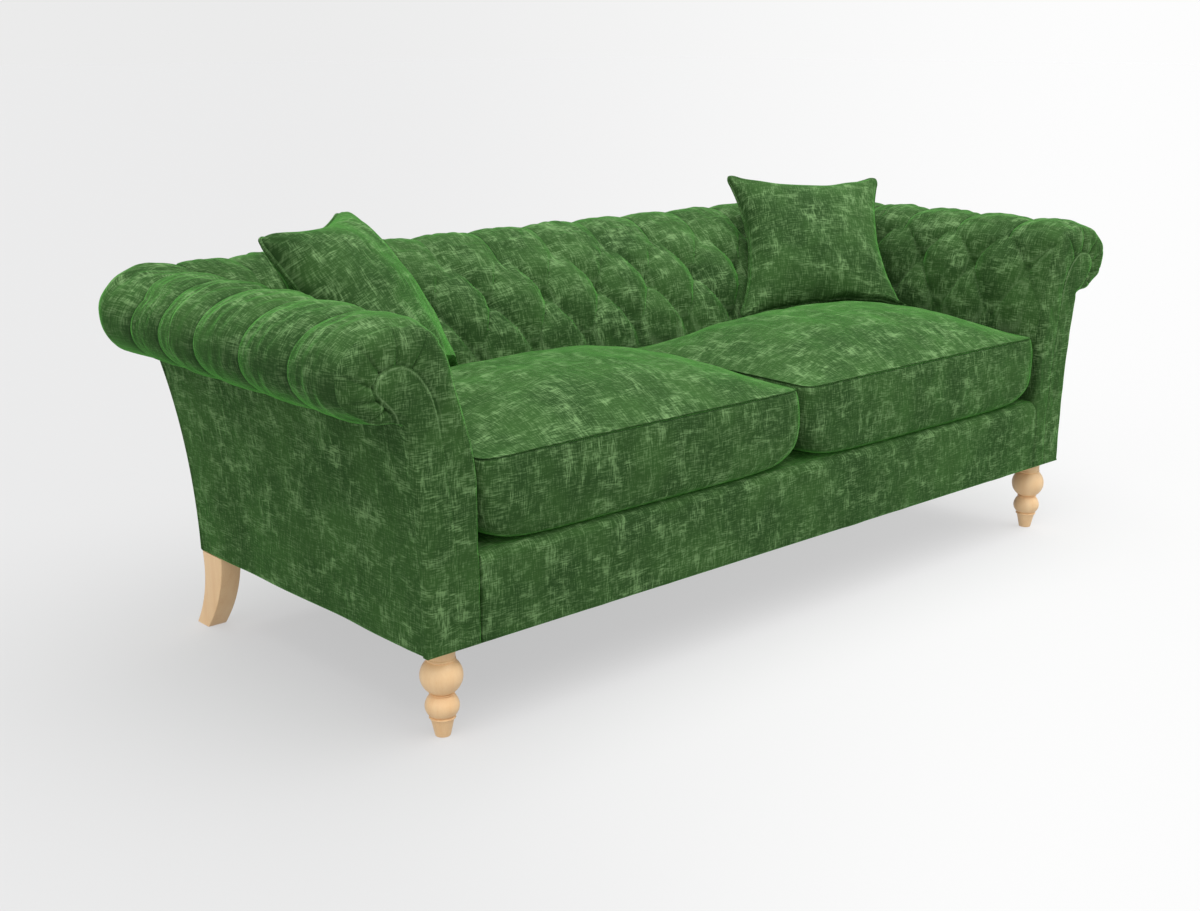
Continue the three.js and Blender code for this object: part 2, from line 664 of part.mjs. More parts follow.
// Deck under the cushions, and the cloth under the frame, notched round the leg blocks.
function addDeckAndCover() {
  addMesh('seat_deck', boxBetween(-armFrameFace, armFrameFace, frameFront, backFrameFace,
    webTop + gap, deckTop), deckCloth);
  const [x0, x1] = [blockInner - gap, frameHalf];
  const [y0, y1] = [frontBlockBack + gap, backBlockFront - gap];
  const outline = [[-x0, frameFront], [x0, frameFront], [x0, y0], [x1, y0], [x1, y1], [x0, y1],
    [x0, frameBack], [-x0, frameBack], [-x0, y1], [-x1, y1], [-x1, y0], [-x0, y0]];
  addMesh('bottom_cloth', slabAlongZ(outline, underside, underside + coverThickness), blackCloth);
}

// Turned front legs, from the foot up: a tapered foot under a groove and a ring, the lower bulb, a
// fillet round the neck, and the upper bulb. The shares are heights along the leg.
const grooveShares = [0.15, 0.17];
const ankleRingShares = [0.182, 0.206];
const lowerBulbShares = [0.216, 0.428];
const filletShares = [0.436, 0.452];
const upperBulbShares = [0.46, 1];
const bulbFullness = 0.75; // lower is fuller
const bulbLowness = 0.88; // lower has the widest place nearer the foot

function turnedLegProfile() {
  const height = underside - gap;
  const at = (radius, share) => new THREE.Vector2(radius, height * share);
  const band = (radius, shares) => shares.map((share) => at(radius, share));
  const bulb = (low, widest, high, [from, to], steps) =>
    Array.from({ length: steps }, (_, i) => {
      const part = (i + 1) / (steps + 1);
      const neck = THREE.MathUtils.lerp(low, high, part);
      const swell = Math.sin(Math.PI * part ** bulbLowness) ** bulbFullness;
      return at(THREE.MathUtils.lerp(neck, widest, swell), THREE.MathUtils.lerp(from, to, part));
    });
  return [
    at(0, 0), at(footRadius, 0), ...band(grooveRadius, grooveShares),
    ...band(ankleRingRadius, ankleRingShares), at(ankleRadius, lowerBulbShares[0]),
    ...bulb(ankleRadius, lowerBulbRadius, neckRadius, lowerBulbShares, 5),
    at(neckRadius, lowerBulbShares[1]), ...band(filletRadius, filletShares),
    at(neckRadius, upperBulbShares[0]),
    ...bulb(neckRadius, upperBulbRadius, legTopRadius, upperBulbShares, 7),
    at(legTopRadius, 1), at(0, 1),
  ];
}

// Swept back legs: a square section that narrows and kicks back towards the foot.
function sweptLeg() {
  const [x, y] = sweptLegPlace;
  const top = underside - gap;
  const rings = [];
  for (let i = 0; i <= sweptSteps; i++) {
    const drop = i / sweptSteps;
    const bend = drop ** 2;
    const width = THREE.MathUtils.lerp(sweptWidth, sweptFootWidth, drop);
    const front = y - sweptDepth / 2 + sweptKick * bend;
    const back = front + THREE.MathUtils.lerp(sweptDepth, sweptFootDepth, drop);
    const [x0, x1, c] = [x - width / 2, x + width / 2, sweptChamfer];
    const corners = [[x0 + c, front], [x1 - c, front], [x1, front + c], [x1, back - c],
      [x1 - c, back], [x0 + c, back], [x0, back - c], [x0, front + c]];
    rings.push(corners.map(([px, py]) => new THREE.Vector3(px, py, top * (1 - drop))));
  }
  return bodyFromRings(rings);
}

function addLegs() {
  const turned = new THREE.LatheGeometry(turnedLegProfile(), legSides).rotateX(Math.PI / 2);
  turned.translate(turnedLegPlace[0], turnedLegPlace[1], 0);
  addPair('front_leg', cut(turned, boltHole(...turnedLegPlace)), paleWood);
  addPair('back_leg', cut(sweptLeg(), boltHole(...sweptLegPlace)), paleWood);
  addPair('front_leg_bolt', hangerBolt(...turnedLegPlace), zincSteel);
  addPair('back_leg_bolt', hangerBolt(...sweptLegPlace), zincSteel);
}

// Seat cushions: a crowned top, a band that swells between its seams, and lower corners that
// round up. Each ring holds shares: of the plan size, of the way from the deck to the seam, and
// how square its corners are.
const cushionRingShares = [
  [0.55, 0, 3], [0.88, 0, 5], [0.965, 0.035, 8], [0.995, 0.14, 12], [1, 0.3, 14],
  [1, 0.65, 14], [0.99, 1, 14], [0.965, 1, 12], [0.9, 1, 8], [0.76, 1, 6], [0.55, 1, 4], [0.3, 1, 3],
];
const seamRing = 6; // the rings past this one lie on the crown
const crownPower = 2.3;
const bandPower = 8; // higher powers keep the band's swell, and the corners' lift, nearer the corners
const cornerPower = 10;
const signedPower = (value, power) => Math.sign(value) * Math.abs(value) ** power;

function seatCushion() {
  const x0 = cushionMiddleGap / 2;
  const x1 = seatHalf - cushionSideGap;
  const y0 = frontFace + cushionFrontSetback;
  const y1 = insideBack - cushionBackGap;
  const [halfX, halfY] = [(x1 - x0) / 2, (y1 - y0) / 2];
  const bottom = deckTop + gap;
  const rings = cushionRingShares.map(([size, up, square], r) =>
    Array.from({ length: seatSides }, (_, i) => {
      const angle = (2 * Math.PI * (i + 1 / 2)) / seatSides;
      const u = size * signedPower(Math.cos(angle), 2 / square);
      const v = size * signedPower(Math.sin(angle), 2 / square);
      const swell = r < seamRing ? bandBulge * up * (1 - up) * 4 : 0;
      const lift = r > 0 && r < seamRing ? cornerLift * Math.abs(u) ** cornerPower * (1 - up) : 0;
      const domed = (1 - Math.abs(u) ** crownPower) * (1 - Math.abs(v) ** crownPower);
      const rise = r >= seamRing ? crown * domed : 0;
      return new THREE.Vector3(
        (x0 + x1) / 2 + u * (halfX - bandBulge) + swell * signedPower(u, bandPower),
        (y0 + y1) / 2 + v * (halfY - bandBulge) + swell * signedPower(v, bandPower),
        bottom + seamRise * up + lift + rise,
      );
    }));
  return bodyFromRings(rings);
}

// Scatter cushions: two crowned faces on a grid, with sides that draw in between pointed corners.
// Its middle is lifted over the seat cushion's crown, and its faces are pressed flat where they meet
// the pads and the seat cushion.
const sideDipShare = 0.14; // of half the size
const cornerBluntShare = 0.04;
const bluntPower = 12;
const thinPower = 0.6; // how the thickness falls away to the edge

function scatterCushion(size, place, seat, pads) {
  const half = size / 2;
  const down = new THREE.Vector3(0, 0, -1);
  const n = scatterGrid;
  const points = [];
  const ray = new THREE.Raycaster();
  for (const side of [-1, 1]) {
    const out = new THREE.Vector3(0, side, 0).transformDirection(place);
    for (let i = 0; i <= n; i++) {
      for (let j = 0; j <= n; j++) {
        const u = Math.sin((Math.PI / 2) * ((2 * i) / n - 1));
        const v = Math.sin((Math.PI / 2) * ((2 * j) / n - 1));
        const blunt = 1 - cornerBluntShare * Math.abs(u * v) ** bluntPower;
        const x = half * u * blunt * (1 - sideDipShare * (1 - v * v) * Math.abs(u));
        const z = half * v * blunt * (1 - sideDipShare * (1 - u * u) * Math.abs(v));
        const full = ((1 - u * u) * (1 - v * v)) ** thinPower;
        const middle = new THREE.Vector3(x, 0, z).applyMatrix4(place);
        ray.set(middle.clone().setZ(boardTop), down);
        const [below] = ray.intersectObject(seat);
        if (below) middle.z = Math.max(middle.z, below.point.z + 2 * scatterClearance);
        ray.set(middle, out);
        const room = ray.intersectObjects([seat, ...pads])[0]?.distance ?? Infinity;
        const thickness = Math.min(scatterRim / 2 + scatterHalfThickness * full, room - scatterClearance);
        points.push(middle.addScaledVector(out, thickness));
      }
    }
  }
  const index = (face, i, j) => (face * (n + 1) + i) * (n + 1) + j;
  const faces = [];
  for (let i = 0; i < n; i++) {
    for (let j = 0; j < n; j++) {
      for (const face of [0, 1]) {
        const [a, d] = [index(face, i, j), index(face, i + 1, j + 1)];
        const pair = [index(face, i + 1, j), index(face, i, j + 1)];
        const [b, c] = face ? pair.reverse() : pair;
        faces.push(a, b, c, b, d, c);
      }
    }
  }
  const edge = [];
  for (let i = 0; i < n; i++) edge.push([i, 0]);
  for (let i = 0; i < n; i++) edge.push([n, i]);
  for (let i = n; i > 0; i--) edge.push([i, n]);
  for (let i = n; i > 0; i--) edge.push([0, i]);
  edge.forEach((here, k) => {
    const next = edge[(k + 1) % edge.length];
    const [a, b, c, d] = [index(0, ...here), index(1, ...here), index(0, ...next), index(1, ...next)];
    faces.push(a, b, c, b, d, c);
  });
  return outward(points, faces);
}

function addScatter(hand, side, { size, turn, tip, fromArm, fromBack, height }) {
  const { degToRad } = THREE.MathUtils;
  const angles = new THREE.Euler(-degToRad(tip), 0, -side * degToRad(turn), 'ZYX');
  const place = new THREE.Matrix4().makeRotationFromEuler(angles);
  place.setPosition(side * (seatHalf - fromArm), insideBack - fromBack, height);
  const pads = ['back_pad', `${hand}_arm_pad`].map((name) => sofa.getObjectByName(name));
  const seat = sofa.getObjectByName(`${hand}_seat_cushion`);
  addMesh(`${hand}_scatter_cushion`, scatterCushion(size, place, seat, pads), velvet);
}

addFrame();
addWebbing();
addDeckAndCover();
addPanels();
addPads();
addLegs();
addPair('seat_cushion', seatCushion(), velvet);
addScatter('left', -1, leftScatter);
addScatter('right', 1, rightScatter);

// Stand the sofa on its origin: the middle of its overall depth is at Y = 0.
const depthBox = new THREE.Box3().setFromObject(sofa);
sofa.position.y = -(depthBox.min.y + depthBox.max.y) / 2;

export default sofa;
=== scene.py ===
import math

import bpy
import numpy as np
from mathutils import Matrix, Vector
from mathutils.bvhtree import BVHTree


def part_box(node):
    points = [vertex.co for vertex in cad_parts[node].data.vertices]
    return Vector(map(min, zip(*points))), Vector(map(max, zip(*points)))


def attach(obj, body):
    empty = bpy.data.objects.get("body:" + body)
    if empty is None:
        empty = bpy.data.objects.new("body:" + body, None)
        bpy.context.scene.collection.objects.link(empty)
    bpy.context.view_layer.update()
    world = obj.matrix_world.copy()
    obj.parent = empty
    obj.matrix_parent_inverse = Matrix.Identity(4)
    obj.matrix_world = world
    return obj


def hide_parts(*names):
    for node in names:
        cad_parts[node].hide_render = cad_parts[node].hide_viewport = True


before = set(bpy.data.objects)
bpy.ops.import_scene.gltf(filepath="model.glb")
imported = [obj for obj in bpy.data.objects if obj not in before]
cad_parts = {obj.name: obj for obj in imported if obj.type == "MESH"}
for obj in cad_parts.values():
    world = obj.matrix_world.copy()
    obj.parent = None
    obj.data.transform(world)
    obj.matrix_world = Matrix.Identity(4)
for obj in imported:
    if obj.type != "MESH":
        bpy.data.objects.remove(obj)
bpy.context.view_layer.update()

# Metres. The sofa's own sizes, as the solids have them, with Y from the middle of its depth.
bodyHalf, bodyDepth, seatHalf = 0.95, 0.79, 0.836
backThickness, facingThickness = 0.225, 0.02
underside, deckTop, gap = 0.166, 0.3292, 0.0003
panelTop, boardTop = 0.575, 0.6
frontFace, backFace = -bodyDepth / 2, bodyDepth / 2
insideBack = backFace - backThickness
frameFront = frontFace + facingThickness + gap

# The solids stand with the middle of their depth on the origin.
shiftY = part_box("front_rail")[0][1] - frameFront


# A step from 0 at low to 1 at high that starts and ends softly: three squares less two cubes.
def smooth(low, high, x):
    t = np.clip((x - low) / (high - low), 0, 1)
    return t * t * (3 - 2 * t)


# All of a where t is 0, all of b where it is 1.
def mix(a, b, t):
    return a + (b - a) * t


# Arrays that are broadcast together, as points or cloth places.
def joined(*parts):
    return np.stack(np.broadcast_arrays(*parts), -1)


# How far along a chain of points each one lies.
def runAlong(chain):
    return np.concatenate([[0], np.cumsum(np.hypot(*np.diff(chain, axis=0).T))])


# A soft random field over two lengths, about 1 high: a sum of waves, from a seed.
def ripple(seed, u, v, length):
    rng = np.random.default_rng(seed)
    waves = 18
    total = np.zeros(np.broadcast(u, v).shape)
    for _ in range(waves):
        angle, phase = rng.uniform(0, 2 * np.pi, 2)
        wave = 2 * np.pi / (length * rng.uniform(0.7, 1.5))
        total = total + np.sin(wave * (u * np.cos(angle) + v * np.sin(angle)) + phase)
    return total / math.sqrt(waves)


print("stage: materials")


# A shader value that adds, multiplies and so on as a number does.
class Field:
    def __init__(self, home, socket):
        self.home, self.socket = home, socket

    def __add__(self, other):
        return self.home.calc("ADD", self, other)

    def __sub__(self, other):
        return self.home.calc("SUBTRACT", self, other)

    def __rsub__(self, other):
        return self.home.calc("SUBTRACT", other, self)

    def __mul__(self, other):
        return self.home.calc("MULTIPLY", self, other)

    def __truediv__(self, other):
        return self.home.calc("DIVIDE", self, other)

    __radd__, __rmul__ = __add__, __mul__

    def atLeast(self, low):
        return self.home.calc("MAXIMUM", self, low)

    def clamp(self):
        return self.home.calc("ADD", self, 0, clamp=True)

    # 0 below low, 1 above high, and a smooth step between.
    def ramp(self, low, high):
        sockets = {"Value": self, "From Min": low, "From Max": high}
        settings = {"interpolation_type": "SMOOTHSTEP"}
        return self.home.field("ShaderNodeMapRange", settings, sockets, "Result")


# The nodes of a material or of the world.
class Tree:
    def __init__(self, tree):
        self.tree = tree

    # Any node, from its type, its settings, and the values or links of its sockets.
    def node(self, kind, settings, sockets):
        made = self.tree.nodes.new(kind)
        for key, value in settings.items():
            setattr(made, key, value)
        for key, value in sockets.items():
            if isinstance(value, Field):
                self.tree.links.new(value.socket, made.inputs[key])
            else:
                made.inputs[key].default_value = value
        return made

    def field(self, kind, settings, sockets, output=0):
        return Field(self, self.node(kind, settings, sockets).outputs[output])

    def calc(self, operation, *values, clamp=False):
        settings = {"operation": operation, "use_clamp": clamp}
        return self.field("ShaderNodeMath", settings, dict(enumerate(values)))

    def split(self, vector):
        node = self.node("ShaderNodeSeparateXYZ", {}, {0: vector})
        return [Field(self, socket) for socket in node.outputs]

    def noise(self, a, b, c=0.0, detail=2, rough=0.55):
        place = self.field("ShaderNodeCombineXYZ", {}, {0: a, 1: b, 2: c})
        sockets = {"Vector": place, "Scale": 1, "Detail": detail, "Roughness": rough}
        return self.field("ShaderNodeTexNoise", {}, sockets, "Fac")

    # A Mix node has its colours in sockets 6 and 7, and mixed in its output 2.
    def blend(self, share, first, second):
        sockets = {0: share, 6: first, 7: second}
        return self.field("ShaderNodeMix", {"data_type": "RGBA"}, sockets, 2)

    # 1 for rays from the camera, and for those that something reflects or lets through.
    def seenRays(self):
        rays = self.node("ShaderNodeLightPath", {}, {})
        names = ("Is Camera Ray", "Is Glossy Ray", "Is Transmission Ray")
        camera, glossy, through = (Field(self, rays.outputs[name]) for name in names)
        return (camera + glossy + through).clamp()


# A material. What is the same all over it is set on the shader's own sockets.
class Look(Tree):
    def __init__(self, name, constants):
        self.material = bpy.data.materials.new(name)
        self.material.use_nodes = True
        super().__init__(self.material.node_tree)
        self.shader = self.tree.nodes["Principled BSDF"]
        for key, value in constants.items():
            self.shader.inputs[key].default_value = value

    def feed(self, socket, field):
        self.tree.links.new(field.socket, self.shader.inputs[socket])

    def place(self):
        return self.split(self.field("ShaderNodeTexCoord", {}, {}, "Object"))

    def cloth(self):
        return self.split(self.field("ShaderNodeUVMap", {"uv_map": "Cloth"}, {}))[:2]

    def attribute(self, name):
        return self.field("ShaderNodeAttribute", {"attribute_name": name}, {}, "Fac")

    def bump(self, height, distance, strength):
        sockets = {"Height": height, "Distance": distance, "Strength": strength}
        self.feed("Normal", self.field("ShaderNodeBump", {}, sockets))


# A colour written as it shows on a screen, 0 to 255, in linear light.
def screen(r, g, b):
    return (*(((c / 255 + 0.055) / 1.055) ** 2.4 for c in (r, g, b)), 1)


# Colours as on a screen. The patterns' sizes are how many there are in about a metre of cloth.
# The crease colour darkens the seams' lines and paints shade in creases and on the arms' roll;
# the pale colour after it is for the stitches and the painted highlights on the puffs' lips.
weave = {
    "dark": (42, 70, 33), "ground": (56, 89, 43), "slub": (113, 147, 95),
    "crease": (24, 44, 20), "paleMark": (150, 182, 130), "sheen": (116, 220, 90),
    "slubLength": 19, "slubWidth": 58, "slubEdge": (0.46, 0.68),
    "threadLength": 55, "threadWidth": 430, "threadDepth": 1.5,
    "clusterLength": 17, "clusterWidth": 14, "clusterEdge": (0.34, 0.68),
    "cloud": 8, "cloudEdge": (0.3, 0.7), "swayLength": 7, "sway": 0.016, "relief": 0.0012,
}


# Slubby woven velvet: pale slubs lie along the weft and the warp in loose clusters, over fine
# threads and darker clouds. The seam attribute darkens where it is above 0 and lightens below:
# it draws the seams' dark lines and pale stitches, painted shade in creases and on the arms' roll,
# and painted highlights on the puffs' lips.
def velvet(name, onCloth=True):
    look = Look(name, {"Roughness": 0.9, "Specular IOR Level": 0.1, "Sheen Weight": 0.9,
                       "Sheen Roughness": 0.3, "Sheen Tint": screen(*weave["sheen"])})
    if onCloth:
        u, v = look.cloth()
    else:
        x, y, z = look.place()
        u, v = x, y + z
    bend, cloud = weave["swayLength"], weave["cloud"]
    sway = (look.noise(u * bend, v * bend, 3.1) - 0.5) * weave["sway"]
    u, v = u + sway, v + sway
    long, thin, edge = weave["slubLength"], weave["slubWidth"], weave["slubEdge"]
    weft = look.noise(u * long, v * thin, 1.7, 2, 0.5).ramp(*edge)
    warp = look.noise(u * thin, v * long, 7.3, 2, 0.5).ramp(*edge)
    cluster = look.noise(u * weave["clusterLength"], v * weave["clusterWidth"], 5.9, 2, 0.6)
    cluster = cluster.ramp(*weave["clusterEdge"])
    clouds = look.noise(u * cloud, v * cloud, 9.4, 3, 0.6).ramp(*weave["cloudEdge"])
    long, thin = weave["threadLength"], weave["threadWidth"]
    threadU = look.noise(u * long, v * thin, 2.2)
    threadV = look.noise(u * thin, v * long, 4.8)
    thread = threadU + threadV - 1
    slub = weft * (threadU * 2.5 - 0.7) + warp * (threadV * 2.5 - 0.7)
    slub = slub * (cluster * 0.62 + 0.2) + cluster * 0.06 + thread * weave["threadDepth"] - 0.02
    lit = look.blend(clouds, screen(*weave["dark"]), screen(*weave["ground"]))
    lit = look.blend(slub.clamp(), lit, screen(*weave["slub"]))
    if onCloth:
        # Seam lines and painted shade above 0, then stitches and painted highlights below 0.
        seam = look.attribute("seam")
        lit = look.blend(seam.clamp(), lit, screen(*weave["crease"]))
        lit = look.blend((seam * -1).clamp(), lit, screen(*weave["paleMark"]))
    look.feed("Base Color", lit)
    look.bump((weft + warp) * 0.4 + thread * 0.9, weave["relief"], 0.7)
    return look.material


# Pale beech: soft rings, fine grain along the leg and short flecks.
def beech():
    look = Look("beech_wood", {"Specular IOR Level": 0.35, "Coat Weight": 0.08,
                               "Coat Roughness": 0.35})
    x, y, z = look.place()
    ring = look.noise(x * 42, y * 42, z * 3.2, 3)
    grain = look.noise(x * 520, y * 520, z * 22, 2, 0.6)
    flecks = look.noise(x * 900, y * 900, z * 130, 1, 0.5).ramp(0.6, 0.72)
    tone = (ring * 0.75 + grain * 0.35 + flecks * 0.12).ramp(0.32, 0.86)
    look.feed("Base Color", look.blend(tone, screen(252, 216, 168), screen(240, 196, 144)))
    look.feed("Roughness", grain * 0.15 + 0.38)
    look.bump(grain, 0.0004, 0.35)
    return look.material


# The frame's plain timber, with its grain along X.
def plainWood():
    look = Look("frame_timber", {"Specular IOR Level": 0.3})
    x, y, z = look.place()
    ring = look.noise(x * 3, y * 40, z * 40, 3)
    tone = look.blend(ring.ramp(0.3, 0.7), screen(214, 178, 126), screen(184, 144, 94))
    look.feed("Base Color", tone)
    look.feed("Roughness", ring * 0.2 + 0.55)
    look.bump(ring, 0.0006, 0.4)
    return look.material


# Plain woven stuff, with its threads counted per metre.
def woven(name, dark, light, threads):
    look = Look(name, {"Specular IOR Level": 0.1})
    x, y, z = look.place()
    thread = look.noise((x + z) * threads, (y + z) * threads, 0, 1)
    look.feed("Base Color", look.blend(thread.ramp(0.35, 0.65), screen(*dark), screen(*light)))
    look.feed("Roughness", thread * 0.1 + 0.85)
    look.bump(thread, 0.0005, 0.5)
    return look.material


# Zinc plating, with small spots.
def zinc():
    look = Look("zinc_steel", {"Metallic": 1.0})
    x, y, z = look.place()
    spots = look.noise(x * 300, y * 300, z * 300)
    tone = look.blend(spots.ramp(0.3, 0.7), screen(176, 180, 184), screen(196, 199, 202))
    look.feed("Base Color", tone)
    look.feed("Roughness", spots * 0.2 + 0.28)
    return look.material


print("stage: carried-over nodes")
timber = plainWood()

# The finish of the nodes that have a word in their name. The others are timber.
finishes = {
    "webbing": woven("jute_webbing", (96, 84, 62), (150, 134, 102), 900),
    "bolt": zinc(),
    "bottom_cloth": woven("black_cloth", (26, 26, 29), (40, 40, 44), 1400),
    "seat_deck": velvet("deck_velvet", onCloth=False),
}
for name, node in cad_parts.items():
    chosen = [finish for word, finish in finishes.items() if word in name]
    node.data.materials.clear()
    node.data.materials.append(chosen[0] if chosen else timber)

# What the velvet pieces and the legs have in common.
inVelvet = {"material": velvet("velvet_cloth"), "slot": "velvet"}
onSofa = {"body": "sofa", **inVelvet}
inBeech = {"body": "sofa", "material": beech(), "slot": "pale_wood"}
hands = ((-1, "left"), (1, "right"))


# What a grid's cells have at their four corners, as (cells, 4) or (cells, 4, 2).
def cellsOf(grid):
    corners = np.stack([grid[:-1, :-1], grid[:-1, 1:], grid[1:, 1:], grid[1:, :-1]], 2)
    return corners.reshape(-1, *corners.shape[2:])


# A grid's outer places in their order, once round.
def rimOf(grid):
    return np.concatenate([grid[0], grid[1:, -1], grid[-1, -2::-1], grid[-2:0:-1, 0]])


# Whether faces that share a number of corners enclose their points inside out, from the sign of
# the sum of the tetrahedra between the origin and each face's fan of triangles.
def insideOut(points, *groups):
    volume = 0
    for faces in groups:
        corners = points[faces]
        fan = np.cross(corners[:, 1:-1], corners[:, 2:])
        volume += (corners[:, :1] * fan).sum()
    return volume < 0


# One object from its points, faces, cloth places for the faces' corners, and seam values, which
# are seam lines, stitches, painted shade and painted highlights. Edges that turn by more than the
# angle sharp, in degrees, stay crisp.
def meshFrom(info, points, faces, places, seamsAndPaintedLight, sharp=62):
    mesh = bpy.data.meshes.new(info["name"])
    mesh.from_pydata((points + [0, shiftY, 0]).tolist(), [], faces)
    mesh.uv_layers.new(name="Cloth").data.foreach_set("uv", np.ravel(places))
    mesh.attributes.new("seam", "FLOAT", "POINT").data.foreach_set("value", np.ravel(seamsAndPaintedLight))
    mesh.shade_smooth()
    mesh.set_sharp_from_angle(angle=math.radians(sharp))
    mesh.materials.append(info["material"])
    piece = bpy.data.objects.new(info["name"], mesh)
    bpy.context.scene.collection.objects.link(piece)
    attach(piece, info["body"])
    if info.get("nodes"):
        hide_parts(*info["nodes"])
    "fill" in info
    print("piece", info["name"], len(points), "points")


# Rows of points, each row closed on itself, joined to the next and capped at both ends. The cloth
# place runs on past a row's last point, so it has one more column than the points.
def loft(info, grid, cloth, seamsAndPaintedLight=0.0, mirror=False, sharp=62):
    rows, cols = grid.shape[:2]
    points = grid.reshape(-1, 3) * [-1 if mirror else 1, 1, 1]
    index = np.arange(rows * cols).reshape(rows, cols)
    quads = cellsOf(np.concatenate([index, index[:, :1]], 1))
    first, last = index[:1, ::-1], index[-1:]
    places = [cellsOf(cloth), cloth[:1, cols - 1::-1], cloth[-1:, :cols]]
    turned = 1
    if insideOut(points, quads, first, last):
        turned = -1
    faces = [face for group in (quads, first, last) for face in group[:, ::turned].tolist()]
    places = np.concatenate([group[:, ::turned].reshape(-1, 2) for group in places])
    # A mirrored piece is cut from another stretch of the cloth.
    away = [3.7, 1.3] if mirror else [0, 0]
    seamsAndPaintedLight = np.broadcast_to(seamsAndPaintedLight, (rows, cols))
    meshFrom(info, points, faces, places + away, seamsAndPaintedLight, sharp)


print("stage: pads")
# The rolls are ellipses whose middle is a reach out from the inside face. The lean meets them at
# their entry, in degrees. A rise and a pull bend the lean at its foot and at the roll.
armRoll = {"reach": 0.154, "height": 0.655, "halfWidth": 0.110, "halfHeight": 0.078, "entry": 125}
backRoll = {"reach": 0.235, "height": 0.660, "halfWidth": 0.092, "halfHeight": 0.084, "entry": 130}
armPad = {"roll": armRoll, "rise": 0.060, "pull": 0.045, "puff": 0.026, "rollPuff": 0.017,
          "lip": 0.149, "frame": 0.062, "board": 0.1463}
backPad = {"roll": backRoll, "rise": 0.070, "pull": 0.120, "puff": 0.033, "rollPuff": 0.013,
           "lip": 0.298, "frame": 0.098, "board": 0.2953}
pad = {"setback": 0.002, "leanStart": 0.45, "outerCorner": 0.086, "creaseCorner": 0.020,
       "armPitches": 3.5, "cornerPitches": 4, "backPitches": 10, "backRunHalf": 0.775,
       "armRunBack": 0.1475, "cornerPuffHalf": 0.189, "fill": 0.9}
pad["pitch"] = (pad["armRunBack"] - frontFace) / pad["armPitches"]
mitreCount = pad["armPitches"] + pad["cornerPitches"] / 2
middleCount = pad["armPitches"] + pad["cornerPitches"] + pad["backPitches"] / 2

# How many levels each stretch of the cross-section has, and how the lean changes along itself.
levelCounts = {"upright": 8, "lean": 112, "roll": 60, "lip": 4}
leanShape = {"along": [0, 0.125, 0.25, 0.425, 0.6, 0.76, 0.92, 1],
             "down": [1, 1, 1, 0.75, 0.5, 0.25, 0, 0],
             "rise": [0, 0.2, 0.42, 0.85, 1, 0.85, 0.55, 0.5]}


# A pad's cross-section as levels: straight up beside the cushions, along the lean, which is a
# Bezier curve, over the roll, which is an ellipse, and straight down to the panels. Each level lies
# at a place out from the inside face, swells its puffs along a direction, and is some way down the
# diamonds, from 0 at the top row of tufts to 1 at the lowest. Open is how much of a great puff's
# width it has at the corner.
def padProfile(own):
    roll = own["roll"]
    wide, high = roll["halfWidth"], roll["halfHeight"]

    def onRoll(angle):
        cos, sin = np.cos(angle), np.sin(angle)
        out = joined(high * cos, wide * sin)
        place = joined(roll["reach"] + wide * cos, roll["height"] + high * sin)
        return place, out / np.hypot(*out.T)[..., None]

    entry = math.radians(roll["entry"])
    meet, (facing, rising) = onRoll(entry)
    start = np.array([pad["setback"], pad["leanStart"]])
    handles = [start, start + [0, own["rise"]],
               meet + own["pull"] * np.array([-rising, facing]), meet]
    t = np.linspace(0, 1, levelCounts["lean"])
    lean = sum((math.comb(3, k) * t**k * (1 - t) ** (3 - k))[:, None] * handle
               for k, handle in enumerate(handles))
    steps = np.gradient(lean, axis=0)
    leanOut = joined(-steps[:, 1], steps[:, 0]) / np.hypot(*steps.T)[:, None]
    low = np.linspace(deckTop + gap, pad["leanStart"], levelCounts["upright"], endpoint=False)
    upright = joined(pad["setback"], low)
    rollEnd = -math.acos((own["lip"] - roll["reach"]) / wide)
    angles = np.linspace(entry, rollEnd, levelCounts["roll"] + 1)[1:]
    over, overOut = onRoll(angles)
    drop = np.linspace(over[-1, 1], panelTop + gap, levelCounts["lip"] + 1)[1:]
    lip = joined(own["lip"], drop)
    at = np.concatenate([upright, lean, over, lip])
    noUpright, noLean, noRoll, noLip = (np.zeros(len(part)) for part in (low, t, over, lip))
    down = np.interp(t, leanShape["along"], leanShape["down"])
    leanRise = own["puff"] * np.interp(t, leanShape["along"], leanShape["rise"])
    rollRise = own["rollPuff"] * mix(1, 0.2, np.linspace(0, 1, len(over)))
    open = ((1 + np.cos(np.maximum(angles, 0))) / 2) ** 2.3
    sideways, under = np.tile([-1.0, 0.0], (len(low), 1)), np.tile([0.3, -1.0], (len(lip), 1))
    return {"at": at, "length": runAlong(at),
            "out": np.concatenate([sideways, leanOut, overOut, under]),
            "down": np.concatenate([noUpright + 1, down, noRoll, noLip]),
            "rise": np.concatenate([noUpright, leanRise, rollRise, noLip]),
            "open": np.concatenate([noUpright, noLean, open, noLip + 1])}


armProfile, backProfile = padProfile(armPad), padProfile(backPad)

# How a puff rises from its creases, and how deep and wide its tufts are.
puff = {"bow": 0.6, "crease": 0.12, "round": 0.42, "dimple": 0.35, "dimpleWidth": 0.10}


# How full a puff is: 0 in the creases and 1 at its middle. The diamonds' creases run where the
# count with the way down added, or taken off, is whole. A crease is shallow half way between two
# tufts, and a tuft, where two creases cross, is a deep dimple. On the roll there are only pleats.
def puffs(count, down):
    one = np.abs(np.sin(np.pi * (count + down)))
    other = np.abs(np.sin(np.pi * (count - down)))
    most, least = np.maximum(one, other), np.minimum(one, other)
    valley = puff["crease"] + (1 - puff["crease"]) * least ** puff["round"]
    dimple = puff["dimple"] * np.exp(-(one**2 + other**2) / puff["dimpleWidth"])
    pleat = np.abs(np.sin(np.pi * count)) ** 0.5
    return mix(pleat, most ** puff["bow"] * valley - dimple, smooth(0, 0.3, down))


